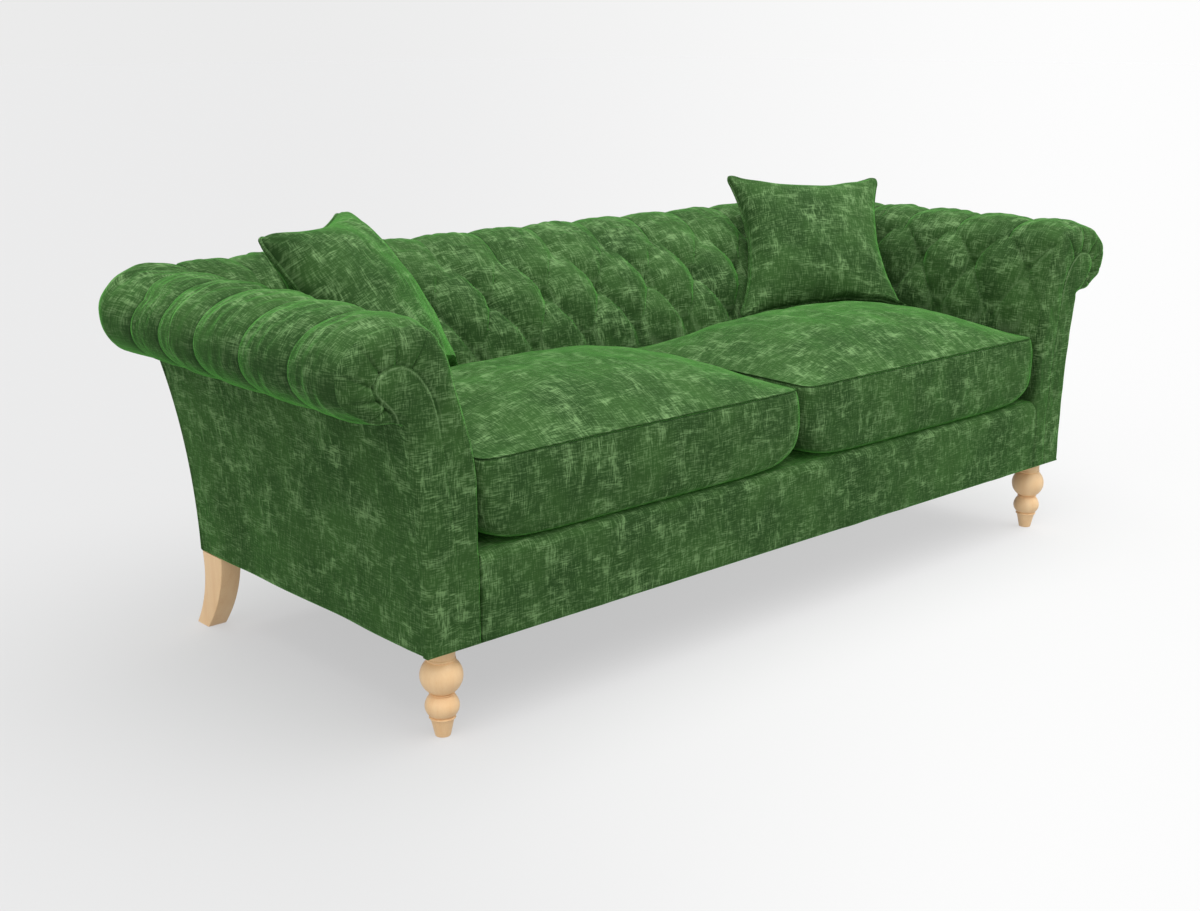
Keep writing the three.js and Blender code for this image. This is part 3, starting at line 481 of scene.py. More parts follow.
# At the front the roll's cover is gathered in pleats at these angles, in degrees round the roll.
frontPleats = {"angles": np.array([-97, -58, -22, 14, 50, 88, 124]), "fade": (-85, 106),
               "flat": 0.0062, "crease": 0.0045, "creaseAngle": 2.4, "reach": 0.075}


# How far the cover is drawn in at its front edge: a parabola from pleat to pleat, and a crease at
# each, which falls off exponentially. Both fade out at the first and the last.
def drawnIn(at):
    pleats = frontPleats["angles"]
    angle = np.degrees(np.arctan2(at[:, 1] - armRoll["height"], at[:, 0] - armRoll["reach"]))
    order = np.interp(angle, pleats, np.arange(len(pleats)))
    flat = frontPleats["flat"] * 4 * (order % 1) * (1 - order % 1)
    off = np.abs(angle - pleats[np.round(order).astype(int)])
    crease = frontPleats["crease"] * np.exp(-off / frontPleats["creaseAngle"])
    first, last = frontPleats["fade"]
    return (flat + crease) * smooth(pleats[0], first, angle) * smooth(pleats[-1], last, angle)


# Where each level runs in plan at each count of pitches from the arm's front, how far it has turned
# from the arm's way to the back's, from 0 to 1, and how much room its puffs have. A level runs
# along the arm, round the corner in an arc, whose diagonal has the middle of a great puff, then
# along the back.
def planPlaces(count, arm, back):
    count = count[:, None]
    armOut, backOut = arm["at"][:, 0], back["at"][:, 0]
    x, y = seatHalf + armOut, insideBack + backOut
    setIn = (armRoll["reach"] + armRoll["halfWidth"] - armOut
             + backRoll["reach"] + backRoll["halfWidth"] - backOut) / 2
    radius = np.maximum(pad["creaseCorner"], pad["outerCorner"] - setIn)
    armRun = y - radius - pad["armRunBack"]
    arc = radius * np.pi / 2
    run = armRun + arc + x - radius - pad["backRunHalf"]
    past = count - pad["armPitches"]
    half = pad["cornerPitches"] / 2
    around = np.clip(past, 0, 2 * half)
    armSide = around <= half
    side = np.where(armSide, armRun + arc / 2, run - armRun - arc / 2)
    great = np.minimum(np.maximum(pad["cornerPuffHalf"] * arm["open"], side * 0.1), side / 2)
    plain = (side - great) / (half - 0.5)
    fromEnd = np.where(armSide, around, 2 * half - around)
    outer = np.minimum(fromEnd, half - 0.5)
    distance = outer * plain + (fromEnd - outer) * 2 * great
    onGreat = smooth(-0.3, 0.3, fromEnd - half + 0.5)
    room = np.minimum(1, mix(plain, 2 * great, onGreat) / pad["pitch"])
    along = np.where(armSide, distance, run - distance)
    turn = np.clip((along - armRun) / arc, 0, 1)
    angle = turn * np.pi / 2
    px = x + radius * (np.cos(angle) - 1) - np.maximum(along - armRun - arc, 0)
    py = y - radius + radius * np.sin(angle) + np.minimum(along - armRun, 0)
    backPitch = 2 * pad["backRunHalf"] / pad["backPitches"]
    onArm, onBack = past <= 0, past >= 2 * half
    backX = pad["backRunHalf"] - (past - 2 * half) * backPitch
    px = np.where(onArm, x, np.where(onBack, backX, px))
    py = np.where(onArm, count * pad["pitch"] + frontFace, np.where(onBack, y, py))
    turn = np.where(onArm, 0, np.where(onBack, 1, turn))
    return px, py, turn, np.where(onArm | onBack, 1, room)


# The cover's wrinkles, and its seam values, which are all painted light: painted shade in the
# creases, painted highlights on the puffs' lips beside them, and painted shade on the outer side
# of the arms' roll.
cover = {"wrinkle": 0.0011, "wrinkleLength": 0.06, "stretch": 1.6, "fine": 0.0021,
         "rollCrease": 0.56, "leanCrease": 0.4, "lip": 0.16, "lipAt": 0.0062, "lipWidth": 0.002,
         "outerSide": 0.45}


# The pads' skin over the counts, as points (levels, counts), with the cloth's places and the seam
# values, which paint shade and highlights: each place of the plan stands out by its puff along its
# own direction.
def padSkin(count):
    arm, back = armProfile, backProfile
    px, py, turn, room = planPlaces(count, arm, back)
    counts = count[:, None]
    at = mix(arm["at"], back["at"], turn[..., None])
    out = mix(arm["out"], back["out"], turn[..., None])
    length = mix(arm["length"], back["length"], turn)

    # The puffs are calm near the arm's front.
    calm = mix(smooth(-0.25, 0.35, counts), smooth(0, 0.8, counts), smooth(0, 0.6, arm["down"]))
    full = mix(arm["rise"] * puffs(counts, arm["down"]), back["rise"] * puffs(counts, back["down"]),
               turn)
    full = full * calm * room
    forward = counts * pad["pitch"]
    wrinkle = ripple(5, forward * cover["stretch"], length, cover["wrinkleLength"])
    atFront = 1 - smooth(0, frontPleats["reach"], forward)
    gathered = atFront * drawnIn(arm["at"]) * (arm["down"] == 0)
    push = full + cover["wrinkle"] * wrinkle * smooth(0.002, 0.012, full) - gathered
    heading = turn * np.pi / 2
    x = px + out[..., 0] * push * np.cos(heading)
    y = py + out[..., 0] * push * np.sin(heading)
    skin, cloth = joined(x, y, at[..., 1] + out[..., 1] * push), joined(forward, length)

    # Painted shade in the creases and on the arms' roll's outer side, painted highlights on the
    # lips.
    onLean = smooth(0, 0.3, arm["down"])
    lip = cover["lip"] * onLean * np.exp(-(((full - cover["lipAt"]) / cover["lipWidth"]) ** 2))
    crease = mix(cover["rollCrease"], cover["leanCrease"], onLean)
    crease = crease * np.exp(-np.abs(full) / cover["fine"]) - lip
    tufted = (arm["rise"] > 0.001) & (calm * room > 0.5)
    outer = cover["outerSide"] * (1 - onLean) * (1 - turn) * smooth(0.75, -0.1, arm["out"][:, 1])
    return skin.transpose(1, 0, 2), cloth.transpose(1, 0, 2), (crease * tufted + outer).T


# The hidden path behind each level: up the frame's inside, over its top board and down outside,
# with as much of it behind each stretch of levels as that stretch needs.
def hiddenPath(own, levels):
    inside, lip = own["frame"] - 0.0005, own["lip"] - 0.0015
    corners = np.array([(inside, deckTop + gap), (inside, boardTop + 2 * gap),
                        (own["board"] + 2 * gap, boardTop + 2 * gap), (lip, panelTop + gap)])
    run, counts = runAlong(corners), levelCounts
    marks = np.cumsum([0, counts["upright"] + counts["lean"] * 0.6,
                       counts["lean"] * 0.4 + counts["roll"] * 0.5,
                       counts["roll"] * 0.5 + counts["lip"] - 1])
    place = np.interp(np.arange(levels), marks * (levels - 1) / marks[-1], run)
    return joined(*(np.interp(place, run, corners[:, k]) for k in range(2)))


# A pad: its skin over the counts, closed behind by the hidden path at its ends. The back's skin is
# one half and its mirror image.
def addPad(info, count, mirror=False, whole=False):
    skin, cloth, seamsAndPaintedLight = padSkin(count)
    levels = len(skin)
    armBehind, backBehind = hiddenPath(armPad, levels), hiddenPath(backPad, levels)
    x, y = seatHalf + armBehind[:, 0], insideBack + backBehind[:, 0]
    height = (armBehind[:, 1] + backBehind[:, 1]) / 2
    if whole:
        across = 2 * cloth[:, -1:, 0] - cloth[:, -2::-1, 0]
        other = joined(across, cloth[:, -2::-1, 1])
        skin = np.concatenate([skin, skin[:, -2::-1] * [-1, 1, 1]], 1)
        cloth = np.concatenate([cloth, other], 1)
        seamsAndPaintedLight = np.concatenate([seamsAndPaintedLight, seamsAndPaintedLight[:, -2::-1]], 1)
        behind = [[-x, y, height], [x, y, height]]
    else:
        behind = [[x, y, height], [x, np.full(levels, skin[0, 0, 1]), height]]
    grid = np.concatenate([skin, np.array(behind).transpose(2, 0, 1)], 1)
    hidden = [cloth[:, -1:] + [more, 0] for more in (0.1, 0.2, 0.3)]
    seamsAndPaintedLight = np.pad(seamsAndPaintedLight, ((0, 0), (0, len(behind))))
    loft(info, grid, np.concatenate([cloth, *hidden], 1), seamsAndPaintedLight, mirror)


# The counts are closest on the great puffs.
columns = {"arm": 190, "corner": 34, "back": 200}
padStart = (facingThickness + gap) / pad["pitch"]
armCounts = np.concatenate([
    np.linspace(padStart, mitreCount - 0.5, columns["arm"], endpoint=False),
    np.linspace(mitreCount - 0.5, mitreCount, columns["corner"])])
backCounts = np.concatenate([
    np.linspace(mitreCount, mitreCount + 0.5, columns["corner"], endpoint=False),
    np.linspace(mitreCount + 0.5, middleCount, columns["back"])])
for side, hand in hands:
    addPad({"name": f"{hand}_arm_upholstery", "nodes": [f"{hand}_arm_pad"], "fill": pad["fill"],
            **onSofa}, armCounts, side < 0)
addPad({"name": "back_upholstery", "nodes": ["back_pad"], "fill": pad["fill"], **onSofa},
       backCounts, whole=True)

print("stage: panels and border")
flare = {"arm": 0.032, "armPower": 2.6, "back": 0.07, "backPower": 1.5}
panel = {"edge": 0.006, "corner": 0.009, "inner": 0.0118, "straightFrom": 0.180, "rows": 60,
         "armWave": 0.0016, "armWaveLength": 0.22, "backWave": 0.0018, "backWaveLength": 0.3,
         "waveFade": 0.05, "inset": 0.0006, "seam": [0.5, 0.9]}

# The panels' heights, and how far their bottom edge is turned under at each.
edgeTurn = np.linspace(0, np.pi / 2, 6)
panelHeights = np.concatenate([underside + panel["edge"] * (1 - np.cos(edgeTurn)),
                               np.linspace(panel["straightFrom"], panelTop - gap, panel["rows"])])
turnedIn = np.concatenate([panel["edge"] * (1 - np.sin(edgeTurn)), np.zeros(panel["rows"])])


# How far out the arm's and the back's outside panels stand at a height: both lean out as a power
# of the height.
def panelLean(height):
    share = np.clip((height - underside) / (panelTop - underside), 0, 1)
    outX = bodyHalf + flare["arm"] * share ** flare["armPower"]
    return outX, backFace + flare["back"] * share ** flare["backPower"]


# The rounded corner between the outside panels, from one angle round it to another.
def panelCorner(first, last):
    arcs, z, drawn = np.linspace(first, last, 8), panelHeights[:, None], turnedIn[:, None]
    outX, outY = panelLean(z)
    r = panel["corner"]
    return joined(outX - r + (r - drawn) * np.cos(arcs), outY - r + (r - drawn) * np.sin(arcs), z)


# How far a panel's cloth stands out: a soft wave that fades at its ends and its top.
def panelWave(seed, along, fromEnd, height, length):
    fade = panel["waveFade"]
    wave = height * ripple(seed, along, panelHeights[:, None], length)
    wave = wave * smooth(0, fade, fromEnd) * smooth(0, fade, panelTop - panelHeights[:, None])
    return wave - panel["inset"]


# The outside arm: level by level straight back from the front, round to the seam on the corner's
# diagonal, and back along its inside.
def addOutsideArm(info, mirror):
    z = panelHeights[:, None]
    outX, outY = panelLean(z)
    ys = np.linspace(frameFront, outY[:, 0] - panel["corner"], 110, axis=1)
    wave = panelWave(21, ys, ys - ys[:, :1], panel["armWave"], panel["armWaveLength"])
    straight = joined(outX - turnedIn[:, None] + wave, ys, z)
    bend = panelCorner(0, np.pi / 4)[:, 1:]
    inX, inY = outX - panel["inner"], outY - panel["inner"]
    inside = [joined(inX, inY, z), joined(inX, frameFront, z)]
    grid = np.concatenate([straight, bend, *inside], 1)
    arcRun = panel["corner"] * np.linspace(0, np.pi / 4, 8)[1:]
    run = np.concatenate([ys, ys[:, -1:] + arcRun, ys[:, -1:] + [0.05, 0.1, 0.2]], 1)
    seamsAndPaintedLight = np.zeros(grid.shape[1])
    seamsAndPaintedLight[-4:-2] = panel["seam"]
    loft(info, grid, joined(run, z), seamsAndPaintedLight, mirror)


# The outside back: level by level from one corner's diagonal across to the other, and back along
# its inside.
def addOutsideBack(info):
    z = panelHeights[:, None]
    outX, outY = panelLean(z)
    bend = panelCorner(np.pi / 4, np.pi / 2)
    bend[:, 0] += [-gap, gap, 0]
    end = outX[:, 0] - panel["corner"]
    xs = np.linspace(end, -end, 240, axis=1)[:, 1:-1]
    wave = panelWave(22, xs, outX - np.abs(xs), panel["backWave"], panel["backWaveLength"])
    straight = joined(xs, outY - turnedIn[:, None] + wave, z)
    inX, inY = outX - panel["inner"] - 0.0004, outY - panel["inner"]
    grid = np.concatenate([bend, straight, bend[:, ::-1] * [-1, 1, 1], joined(-inX, inY, z),
                           joined(inX, inY, z)], 1)
    run = [np.append(runAlong(ring[:, :2]), 4.6) for ring in grid]
    seamsAndPaintedLight = np.zeros(grid.shape[1])
    seamsAndPaintedLight[:2] = panel["seam"][::-1]
    seamsAndPaintedLight[-4:-2] = panel["seam"]
    loft(info, grid, joined(run, z), seamsAndPaintedLight)


for side, hand in hands:
    addOutsideArm({"name": f"{hand}_outside_cover", "nodes": [f"{hand}_outside_arm"], **onSofa},
                  side < 0)
addOutsideBack({"name": "outside_back_cover", "nodes": ["outside_back"], **onSofa})

border = {"radius": 0.02, "bottom": 0.008, "swell": 0.0015, "wave": 0.0012, "waveLength": 0.12,
          "limits": (-0.0014, 0.003), "columns": 260}


# The border under the cushions: one outline along X, which rounds over on top and below. Its front
# swells in half a sine wave, with a soft ripple on it.
def addBorder(info):
    front, back = frontFace + border["swell"], frameFront - gap
    turn, under = np.linspace(np.pi, np.pi / 2, 12), np.linspace(np.pi * 1.5, np.pi, 7)
    top = joined(front + border["radius"] * (1 + np.cos(turn)),
                 deckTop + border["radius"] * (np.sin(turn) - 1))
    low = joined(front + border["bottom"] * (1 + np.cos(under)),
                 underside + border["bottom"] * (np.sin(under) + 1))
    face = joined(front, np.linspace(low[-1, 1], top[0, 1], 16)[1:-1])
    outline = np.concatenate([[[back, underside]], low, face, top, [[back, deckTop]]])
    xs = np.linspace(gap - seatHalf, seatHalf - gap, border["columns"])[:, None]
    grid = joined(xs, outline[:, 0], outline[:, 1])
    swell = border["swell"] * np.sin(np.pi * (outline[:, 1] - underside) / (deckTop - underside))
    swell = swell + border["wave"] * ripple(31, xs, outline[:, 1], border["waveLength"])
    grid[:, 4:-5, 1] -= np.clip(swell[:, 4:-5], *border["limits"])
    loft(info, grid, joined(xs, np.append(runAlong(outline), 0.9)))


addBorder({"name": "front_border_cover", "nodes": ["front_border"], **onSofa})

print("stage: seat cushions")
seat = {"seamRise": 0.157, "crown": 0.080, "crownPower": 2.8, "sideGap": 0.005, "middleGap": 0.006,
        "setback": 0.002, "backGap": 0.010, "bulge": 0.004, "lift": 0.038, "liftPower": 13,
        "bottom": deckTop + gap, "around": 340, "squareness": 26, "topWave": 0.0016,
        "topWaveLength": 0.11, "bandWave": 0.0014, "bandWaveLength": 0.09, "fill": 0.8}

# Rings of the underside and band, and of the crown: size, height up the band, and squareness.
bandShares = np.array([[0.55, 0, 3], [0.88, 0, 5], [0.965, 0.035, 9], [0.995, 0.14, 15],
                       [1, 0.3, 21], [1, 0.65, 25], [0.99, 1, 26]])
crownShares = np.array([[0.99, 1, 26], [0.965, 1, 19], [0.9, 1, 10], [0.76, 1, 6], [0.55, 1, 4],
                        [0.3, 1, 3], [0.02, 1, 2.4]])

# The seam's rings, up the band into its groove and out of it to the crown: size, height or rise,
# how far they are sunk, and how dark.
bandSeam = ((0.99, 0.972, 0.0, 0.0), (0.99, 0.987, 0.0008, 0.2), (0.99, 0.997, 0.0024, 0.6))
crownSeam = ((0.99, 0.0016, 0.0024, 0.6), (0.989, 0.0016, 0.0006, 0.2), (0.986, 0.0016, 0, 0.0))


# A smooth curve through rows of numbers, with some steps between each two: a Catmull-Rom spline.
def throughRows(rows, steps):
    ends = np.concatenate([2 * rows[:1] - rows[1:2], rows, 2 * rows[-1:] - rows[-2:-1]])
    a, b, c, d = (ends[k:len(ends) - 3 + k, None] for k in range(4))
    t = np.linspace(0, 1, steps, endpoint=False)[:, None]
    curve = 0.5 * (2 * b + (c - a) * t + (2 * a - 5 * b + 4 * c - d) * t * t
                   + (3 * b - a - 3 * c + d) * t**3)
    return np.concatenate([curve.reshape(-1, rows.shape[1]), rows[-1:]])


# A power of a value that keeps its sign.
def signedPower(value, power):
    return np.sign(value) * np.abs(value) ** power


# Places evenly spaced along a square's sides, anticlockwise from the middle of the right side.
def squarePlaces(count):
    s = (np.arange(count) + 0.5) / count * 8
    side, run, one = s.astype(int) // 2 % 4, s % 2 - 1, np.ones(count)
    return np.choose(side, [one, -run, -one, run]), np.choose(side, [run, one, -run, -one])


# A seat cushion: rings between a circle and a square, up its band and in over its crown. The crown
# is a dome that falls as a power of the way out, and the underside lifts at the cushion's ends.
def addSeatCushion(info, mirror, seed):
    x0, x1 = seat["middleGap"] / 2, seatHalf - seat["sideGap"]
    y0, y1 = frontFace + seat["setback"], insideBack - seat["backGap"]
    halfX, halfY = (x1 - x0) / 2 - seat["bulge"], (y1 - y0) / 2 - seat["bulge"]
    a, b = squarePlaces(seat["around"])

    # The ring's places in the square, from -1 to 1, and in plan.
    def ringPlan(size, square, sink, swell=0.0):
        r = (np.abs(a) ** square + np.abs(b) ** square) ** (-1 / square)
        u, v = size * r * a, size * r * b
        x = (x0 + x1) / 2 + u * (halfX - sink) + swell * signedPower(u, 8)
        y = (y0 + y1) / 2 + v * (halfY - sink) + swell * signedPower(v, 8)
        return u, v, x, y

    def bandRing(size, up, square, sink=0.0):
        u, v, x, y = ringPlan(size, square, sink, seat["bulge"] * up * (1 - up) * 4)
        ends = seat["lift"] * np.abs(u) ** seat["liftPower"] * (1 - up)
        ends = ends * (1 if size > 0.9 else max(0, (size - 0.7) / 0.2))
        z = seat["bottom"] + seat["seamRise"] * up + ends
        wave = seat["bandWave"] * ripple(seed + 1, x + y, z, seat["bandWaveLength"])
        wave = wave * smooth(0, 0.2, up) * smooth(1, 0.8, up)
        return joined(x + wave * signedPower(u, 8), y + wave * signedPower(v, 8), z)

    def crownRing(size, square, sink=0.0, above=0.0):
        u, v, x, y = ringPlan(size, square, sink)
        power = seat["crownPower"]
        dome = seat["crown"] * (1 - np.abs(u) ** power) * (1 - np.abs(v) ** power)
        wave = seat["topWave"] * ripple(seed, x, y, seat["topWaveLength"])
        wave = wave * smooth(1.0, 0.8, size)
        return joined(x, y, seat["bottom"] + seat["seamRise"] + dome + wave + above)

    square = seat["squareness"]
    band = [bandRing(*share) for share in throughRows(bandShares, 6)[:-1]]
    bandGroove = [bandRing(size, up, square, sink) for size, up, sink, _ in bandSeam]
    crownGroove = [crownRing(size, square, sink, rise) for size, rise, sink, _ in crownSeam]
    crown = [crownRing(size, own) for size, _, own in throughRows(crownShares, 9)[2:]]
    grid = np.array(band + bandGroove + crownGroove + crown)
    closed = np.concatenate([grid, grid[:, :1]], 1)
    marks = [0] * len(band) + [row[-1] for row in bandSeam + crownSeam] + [0] * len(crown)

    # The band's cloth runs round the cushion, and the crown's lies flat.
    onBand = len(band + bandGroove)
    around = runAlong(closed[20, :, :2]) + 7
    cloth = np.concatenate([joined(around, closed[:onBand, :, 2]), closed[onBand:, :, :2]])
    loft(info, grid, cloth, np.array(marks)[:, None], mirror)


for side, hand in hands:
    addSeatCushion({"name": f"{hand}_seat_cover", "nodes": [f"{hand}_seat_cushion"],
                    "body": f"{hand}_seat", "fill": seat["fill"], **inVelvet}, side < 0, 40 + side)

print("stage: arm fronts")
# The outside cover wraps round the front to a seam that runs up the middle and over the scroll's
# eye. The inside cover comes round from the other side, in pleats over the top of the roll.
armFront = {
    "ribs": 250, "columns": 130, "eye": (0.990, 0.622), "roundDeep": (0.0105, 0.0192),
    "roundWide": (0.0115, 0.0300), "footRound": 0.006, "rollFrom": (0.56, 0.60), "inset": 0.0012,
    "groove": 0.0018, "grooveWidth": 0.0022, "valley": 0.0026, "valleyWidth": 0.012,
    "pillow": 0.0035, "pillowWidth": 0.05, "pleat": 0.0065, "pleatWidth": 0.0036,
    "wave": 0.0009, "waveLength": 0.07, "seamLine": 0.0013, "stitchAt": 0.0042,
    "stitchWidth": 0.0011,
    "seam": [(0.8855, 0.160), (0.8835, 0.230), (0.8830, 0.290), (0.8880, 0.370), (0.8957, 0.437),
             (0.9086, 0.541), (0.9188, 0.596), (0.9310, 0.628), (0.9503, 0.655), (0.9709, 0.6705),
             (0.9879, 0.6755), (1.0088, 0.6735), (1.0279, 0.6633), (1.0375, 0.6460),
             (1.0350, 0.6310), (1.0230, 0.6170), (1.0115, 0.6050), (1.0020, 0.5920),
             (0.9950, 0.5790)],
}


# For each place, how far off the nearest of a line's segments is, which it is, and on which side.
def nearestSegment(places, starts, ends):
    nearest, which = np.full(len(places), np.inf), np.zeros(len(places), dtype=int)
    side = np.zeros(len(places))
    for i, (start, end) in enumerate(zip(starts, ends)):
        step = end - start
        part = np.clip(((places - start) @ step) / max(step @ step, 1e-12), 0, 1)
        away = places - start - part[:, None] * step
        far = np.hypot(*away.T)
        closer = far < nearest
        nearest, which = np.where(closer, far, nearest), np.where(closer, i, which)
        side = np.where(closer, np.sign(step[0] * away[:, 1] - step[1] * away[:, 0]), side)
    return nearest, which, side


# The arm's front face: ribs between the inner and the outer half of its outline, each as far along
# its half as the other is. Its depth is the sum of its rounded edge, the seam's groove, the pleats
# and a ripple, each a function of how far off the outline, the seam and the scroll's eye are.
def addArmFront(info, mirror):
    own = armFront
    pads = padSkin(np.array([padStart]))[0][:, 0][:, [0, 2]]
    top = int(np.argmax(pads[:, 1]))
    post = [[seatHalf, underside], [seatHalf, 0.24], [seatHalf, deckTop]]
    inner = np.concatenate([post, pads[:top]])
    heights = np.linspace(underside, panelTop - gap, 40)
    outside = joined(panelLean(heights)[0] - panel["inset"], heights)
    outer = np.concatenate([outside, pads[:top:-1]])

    def evenly(chain):
        run = runAlong(chain)
        at = np.linspace(0, 1, own["ribs"] + 1)[:-1] * run[-1]
        return joined(*(np.interp(at, run, chain[:, k]) for k in range(2)))

    left, right = evenly(inner), evenly(outer)
    t = 0.5 - 0.5 * np.cos(np.pi * np.linspace(0, 1, own["columns"]))
    flat = mix(left[:, None], right[:, None], t[None, :, None]).reshape(-1, 2)
    high = flat[:, 1]
    onEye = smooth(*own["rollFrom"], high)

    # How the nearest part of the outline rounds over: more on the roll than below it.
    outline = np.concatenate([left, right[::-1]])
    after = np.roll(outline, -1, axis=0)
    nearest, which, _ = nearestSegment(flat, outline, after)
    isInner = np.arange(len(outline)) < len(left)
    onRoll = np.maximum(smooth(*own["rollFrom"], outline[:, 1]),
                        isInner * smooth(0.50, 0.62, outline[:, 1]))
    deep, wide = mix(*own["roundDeep"], onRoll), mix(*own["roundWide"], onRoll)
    deep[-1] = wide[-1] = own["footRound"]
    steps = after - outline
    outward = joined(-steps[:, 1], steps[:, 0])
    outward = (outward / np.maximum(np.hypot(*steps.T), 1e-9)[:, None])[which]
    turned = 1 - np.clip(1 - nearest / wide[which], 0, 1) ** 2
    rounding = deep[which] * (1 - np.sqrt(np.clip(turned, 0, 1)))

    seam = throughRows(np.array(own["seam"]), 8)
    toSeam, _, side = nearestSegment(flat, seam[:-1], seam[1:])
    insideEye = side < 0
    fromEye = flat - own["eye"]
    radius = np.hypot(*fromEye.T)
    angle = np.degrees(np.arctan2(fromEye[:, 1], fromEye[:, 0]))
    groove = (own["groove"] * np.exp(-((toSeam / own["grooveWidth"]) ** 2))
              + own["valley"] * np.exp(-toSeam / own["valleyWidth"])) * mix(0.45, 1.0, onEye)
    pillow = insideEye * own["pillow"] * smooth(own["pillowWidth"], 0, radius)

    # The pleats meet the roll's own, and run in to the eye.
    bend = np.radians(frontPleats["angles"])
    up = armRoll["height"] - own["eye"][1] + armRoll["halfHeight"] * np.sin(bend)
    fold = np.zeros(len(flat))
    for place in np.degrees(np.arctan2(up, armRoll["halfWidth"] * np.cos(bend))):
        turn = np.abs((angle - place + 180) % 360 - 180)
        off = np.radians(turn) * radius
        fold = np.maximum(fold, np.exp(-off / own["pleatWidth"]) * (turn < 60))
    around = smooth(0.535, 0.60, high) * ~insideEye
    pleat = own["pleat"] * fold * around * mix(1.0, 0.45, smooth(0.004, 0.045, toSeam))
    wave = own["wave"] * ripple(61, flat[:, 0] * 2, high, own["waveLength"])
    wave = wave * smooth(0.004, 0.02, toSeam)
    fromEdge = mix(0.12, 1, smooth(0, 0.012, nearest))
    y = frontFace + own["inset"] + rounding + (groove + pleat - pillow + wave) * fromEdge
    y = np.clip(y, frontFace, frontFace + facingThickness - 0.0004)

    # The seam is a fine dark line with pale stitches beside it on the roll. The pleats' folds get
    # painted shade.
    paleMark = np.exp(-(((toSeam - own["stitchAt"]) / own["stitchWidth"]) ** 2))
    paleMark = paleMark * smooth(0.52, 0.58, high) * np.where(insideEye, 0.4, 0.12)
    line = mix(0.2, 0.4, onEye) * np.exp(-((toSeam / own["seamLine"]) ** 2))
    marks = line + 0.3 * fold**2 * around - paleMark

    # The face, and walls from its rim back to the flat rear.
    index = np.arange(len(flat)).reshape(own["ribs"], own["columns"])
    rim = rimOf(index)
    rings = [rim, *(len(flat) + np.arange(2 * len(rim)).reshape(2, -1))]
    rear = frontFace + facingThickness
    walls = [joined(flat[rim, 0], mix(y[rim], rear, share), high[rim]) for share in (0.5, 1)]
    quads = [cellsOf(index)]
    for near, far in zip(rings[:-1], rings[1:]):
        quads.append(np.stack([np.roll(near, -1), near, far, np.roll(far, -1)], 1))
    faces = np.concatenate(quads).tolist() + [rings[-1][::-1].tolist()]
    points = np.concatenate([joined(flat[:, 0], y, high), *walls])
    outward = np.concatenate([outward, outward[rim], outward[rim]])
    marks = np.concatenate([marks, np.zeros(2 * len(rim))])
    if mirror:
        points = points * [-1, 1, 1]
        faces = [face[::-1] for face in faces]

    # The cloth is carried over the rounded edge by how deep it is there.
    order = np.concatenate(faces)
    at = points[order]
    places = joined(np.abs(at[:, 0]) + 11, at[:, 2])
    places = places + (at[:, 1] - frontFace)[:, None] * outward[order]
    meshFrom(info, points, faces, places, marks)


for side, hand in hands:
    addArmFront({"name": f"{hand}_arm_front", "nodes": [f"{hand}_arm_facing"], **onSofa}, side < 0)

print("stage: scatter cushions")
scatter = {"rim": 0.0022, "grid": 76, "corner": 0.16, "clear": 0.0022, "piping": 0.0036,
           "backPower": 0.62, "wave": 0.0022, "waveLength": 0.10, "gather": 0.0026,
           "gatherFade": 0.05, "edgeMark": 0.35, "edgeWidth": 0.0035, "cordMark": 0.12,
           "cordSides": 10, "fill": 0.75}
scatterPlaces = {
    "left": {"side": -1, "size": 0.428, "turn": 37, "tip": 34, "spin": 0, "fromArm": 0.122,
             "fromBack": 0.068, "height": 0.662, "set": 0.014, "front": 0.104, "back": 0.060,
             "sideDip": 0.15, "topDip": 0.15, "spread": 0, "thinAcross": 0.48, "thinUp": 0.3},
    "right": {"side": 1, "size": 0.415, "turn": 31, "tip": 39, "spin": 2.2, "fromArm": 0.213,
              "fromBack": 0.038, "height": 0.675, "set": 0.006, "front": 0.078, "back": 0.064,
              "sideDip": 0.21, "topDip": 0.20, "spread": 0.03, "thinAcross": 0.5, "thinUp": 0.5},
}


# A square's places, from -1 to 1, with its corners rounded: the last share of each side draws in
# as the other side nears its end.
def roundCorners(u, v, share):
    a = np.clip((np.abs(u) - 1 + share) / share, 0, 1)
    b = np.clip((np.abs(v) - 1 + share) / share, 0, 1)
    return (u - np.sign(u) * share * a * (1 - np.sqrt(1 - b * b / 2)),
            v - np.sign(v) * share * b * (1 - np.sqrt(1 - a * a / 2)))


# One tree of the surfaces that a scatter cushion leans and lies on, in the world's place.
def restSurfaces(names):
    points, faces = [], []
    for name in names:
        mesh = bpy.data.objects[name].data
        first = len(points)
        points += [v.co.copy() for v in mesh.vertices]
        faces += [tuple(first + i for i in face.vertices) for face in mesh.polygons]
    return BVHTree.FromPolygons(points, faces)


